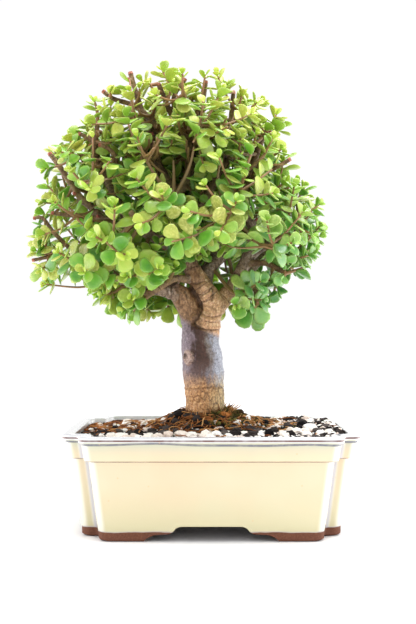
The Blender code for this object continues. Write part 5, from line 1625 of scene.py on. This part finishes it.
def leaf_finish():
    """Fleshy leaf with a waxy skin: light passes a little way in, the margin is paler, old leaves are
    lime, grown ones mid to deep green and the newest at the tips yellow-green; painted shade darkens
    in part the leaves deep in the crown, and painted light makes those at its top paler"""
    waxy, place = new_finish("waxy_succulent_leaf")
    tone = node(waxy, "Attribute", out="Color", attribute_name="tone")
    tint, age, margin = (node(waxy, "SeparateColor", [tone], out=part) for part in ("Red", "Green", "Blue"))
    x, height = (node(waxy, "SeparateXYZ", [place], out=axis) for axis in "XZ")
    blotch, drift, mottle, skin = (
        node(waxy, "TexNoise", {"Vector": place, "Scale": scale, "Detail": detail})
        for scale, detail in ((0.16, 3), (0.012, 1), (0.5, 4), (0.5, 3)))
    mixed = node(waxy, "Mix", {0: 0.4, 2: tint, 3: blotch})
    green, shaded, olive = (node(waxy, "ValToRGB", [reads], stops=stops) for reads, stops in (
        (mixed, ((0.1, "#38801e"), (0.35, "#66a52b"), (0.6, "#97bd3c"), (0.9, "#bcc752"))),
        (mixed, ((0.15, "#2f7436"), (0.4, "#4f9348"), (0.65, "#69ab58"), (0.9, "#8cc476"))),
        (mottle, ((0.3, "#8f9438"), (0.5, "#b3b454"), (0.7, "#d6d07c")))))
    # Leaves in full light have turned olive, with a mottled face; those low on the right are bluish
    lit = node(waxy, "Math", (node(waxy, "MapRange", (height, 300, 380, 0, 0.75)),
                              node(waxy, "MapRange", (drift, 0.44, 0.58, 0, 0.8))), operation="MAXIMUM")
    sunned = node(waxy, "Math", (lit, node(waxy, "MapRange", (tint, 0.35, 0.6))), operation="MULTIPLY")
    cool = node(waxy, "Math", (node(waxy, "MapRange", (x, 28, 62)),
                               node(waxy, "MapRange", (height, 318, 225, 0, 0.85))), operation="MULTIPLY")
    middle = node(waxy, "VectorMath", (place, CROWN_MIDDLE + SHIFT), operation="DISTANCE")
    leaf = layered(
        waxy, green,
        # Yellow-green when young, deep green in the crown's middle partly as painted shade, paler at its top
        # as painted light, paler along the margin
        (sunned, olive), ((age, 0.3, 0, 0, 0.55), "#bbd247"), ((middle, 100, 35, 0, 0.42), "#355a18"),
        (cool, shaded), ((height, 325, 385, 0, 0.34), "#d6dc60"), ((margin, 0, 1, 0, 0.3), "#bcc672"),
    )
    return finished(waxy, {
        "Base Color": leaf, "Roughness": 0.34, "IOR": 1.42, "Coat Weight": 0.3, "Coat Roughness": 0.28,
        "Subsurface Weight": 0.2, "Subsurface Radius": (0.5, 1.0, 0.2), "Subsurface Scale": 1.6 * MM,
    }, skin, 0.25, 0.5)


def twig_finish():
    """Young stem, maroon and slightly glossy, browner on the older main twig"""
    stem, place = new_finish("maroon_succulent_stem")
    tone = node(stem, "Attribute", out="Fac", attribute_name="tone")
    streak = node(stem, "TexNoise", {"Vector": place, "Scale": 0.3, "Detail": 3.0})
    colour = node(stem, "ValToRGB", [node(stem, "Mix", {0: 0.3, 2: tone, 3: streak})], stops=(
        (0.15, "#5a4c2e"), (0.45, "#7d683c"), (0.7, "#96704a"), (0.95, "#b4705a")))
    return finished(stem, {"Base Color": colour, "Roughness": 0.45})


LEAF = leaf_finish()
STEM = twig_finish()


def leafy_pieces(name, leaves, stems, *stood_for):
    """The leaves of one spray as one piece and its twigs as another"""
    foliage = toned_shape()[0]
    for leaf in leaves:
        add_leaf(foliage, leaf)
    piece(name + "_leaves", foliage, LEAF, "leaf", *stood_for, sharp=180)
    twigs = tubes([through(points, radii, 4.0) for points, radii in stems], 6)
    layer = twigs.verts.layers.float_color.new("tone")
    for corner in twigs.verts:
        young = min(max((corner.co - CROWN_MIDDLE).length / 150, 0), 1)
        corner[layer] = (young, young, young, 1)
    piece(name + "_twigs", twigs, STEM, "leaf", *stood_for, sharp=60)


SPRAYS, INNER = dressed_crown()
for number, spray in enumerate(SPRAYS, 1):
    name = "spray_%02d" % number
    first, radii = spray["drawn"][0]
    stems = [([spray["seat"]] + first, radii[:1] + radii)] + spray["drawn"][1:]
    leafy_pieces(name, spray["leaves"], stems, name)
leafy_pieces("extra_shoots", INNER["leaves"], INNER["twigs"])


# Studio
# A pale floor and soft light from all round, as for a catalogue picture, with a camera level with the
# crown's foot and a little to the right of the trunk.

FLOOR_SIZE = 6.0
CAMERA_PLACE = (0.0161, -0.937, 0.192)
FOCAL_PIXELS = 1011
FRAME_PIXELS = 624
HORIZON_PIXEL = 315

floor_shape = bmesh.new()
bmesh.ops.create_grid(floor_shape, x_segments=1, y_segments=1, size=FLOOR_SIZE / 2)
floor = placed("floor", meshed("floor", floor_shape))
# White board with a matt face, which shows nothing but the soft shadow
white = {"Base Color": linear("#ffffff"), "Roughness": 0.9}
floor.data.materials.append(finished(new_finish("matte_white_board")[0], white))

world = bpy.data.worlds.new("white_room")
world.use_nodes = True
fill(world.node_tree.nodes["Background"], {"Color": (1, 1, 1, 1), "Strength": 1.02})
bpy.context.scene.world = world

# Soft boxes: place, what it points at, size across and up, watts
SOFT_BOXES = {
    "top_box": ((0.15, -0.15, 1.35), (0.0, 0.0, 0.3), (0.7, 0.7), 15.0),
    "left_box": ((-0.85, 0.1, 0.25), (0.0, 0.0, 0.2), (0.8, 0.8), 6.0),
    "right_box": ((0.85, 0.1, 0.25), (0.0, 0.0, 0.2), (0.8, 0.8), 6.0),
    "back_box": ((0.1, 0.9, 1.0), (0.0, 0.0, 0.3), (0.9, 0.6), 6.0),
}
for name, (place, target, size, watts) in SOFT_BOXES.items():
    lamp = bpy.data.lights.new(name, "AREA")
    lamp.shape = "RECTANGLE"
    lamp.size, lamp.size_y = size
    lamp.energy = watts
    holder = placed(name, lamp)
    holder.location = place
    holder.rotation_euler = (Vector(target) - Vector(place)).to_track_quat("-Z", "Y").to_euler()

lens = bpy.data.cameras.new("camera")
lens.sensor_fit = "VERTICAL"
lens.sensor_height = 36.0
lens.lens = 36.0 * FOCAL_PIXELS / FRAME_PIXELS
lens.shift_y = (HORIZON_PIXEL - FRAME_PIXELS / 2) / FRAME_PIXELS
camera = placed("camera", lens)
camera.location = CAMERA_PLACE
camera.rotation_euler = (math.pi / 2, 0, 0)
bpy.context.scene.camera = camera
bpy.context.scene.view_settings.view_transform = "Standard"
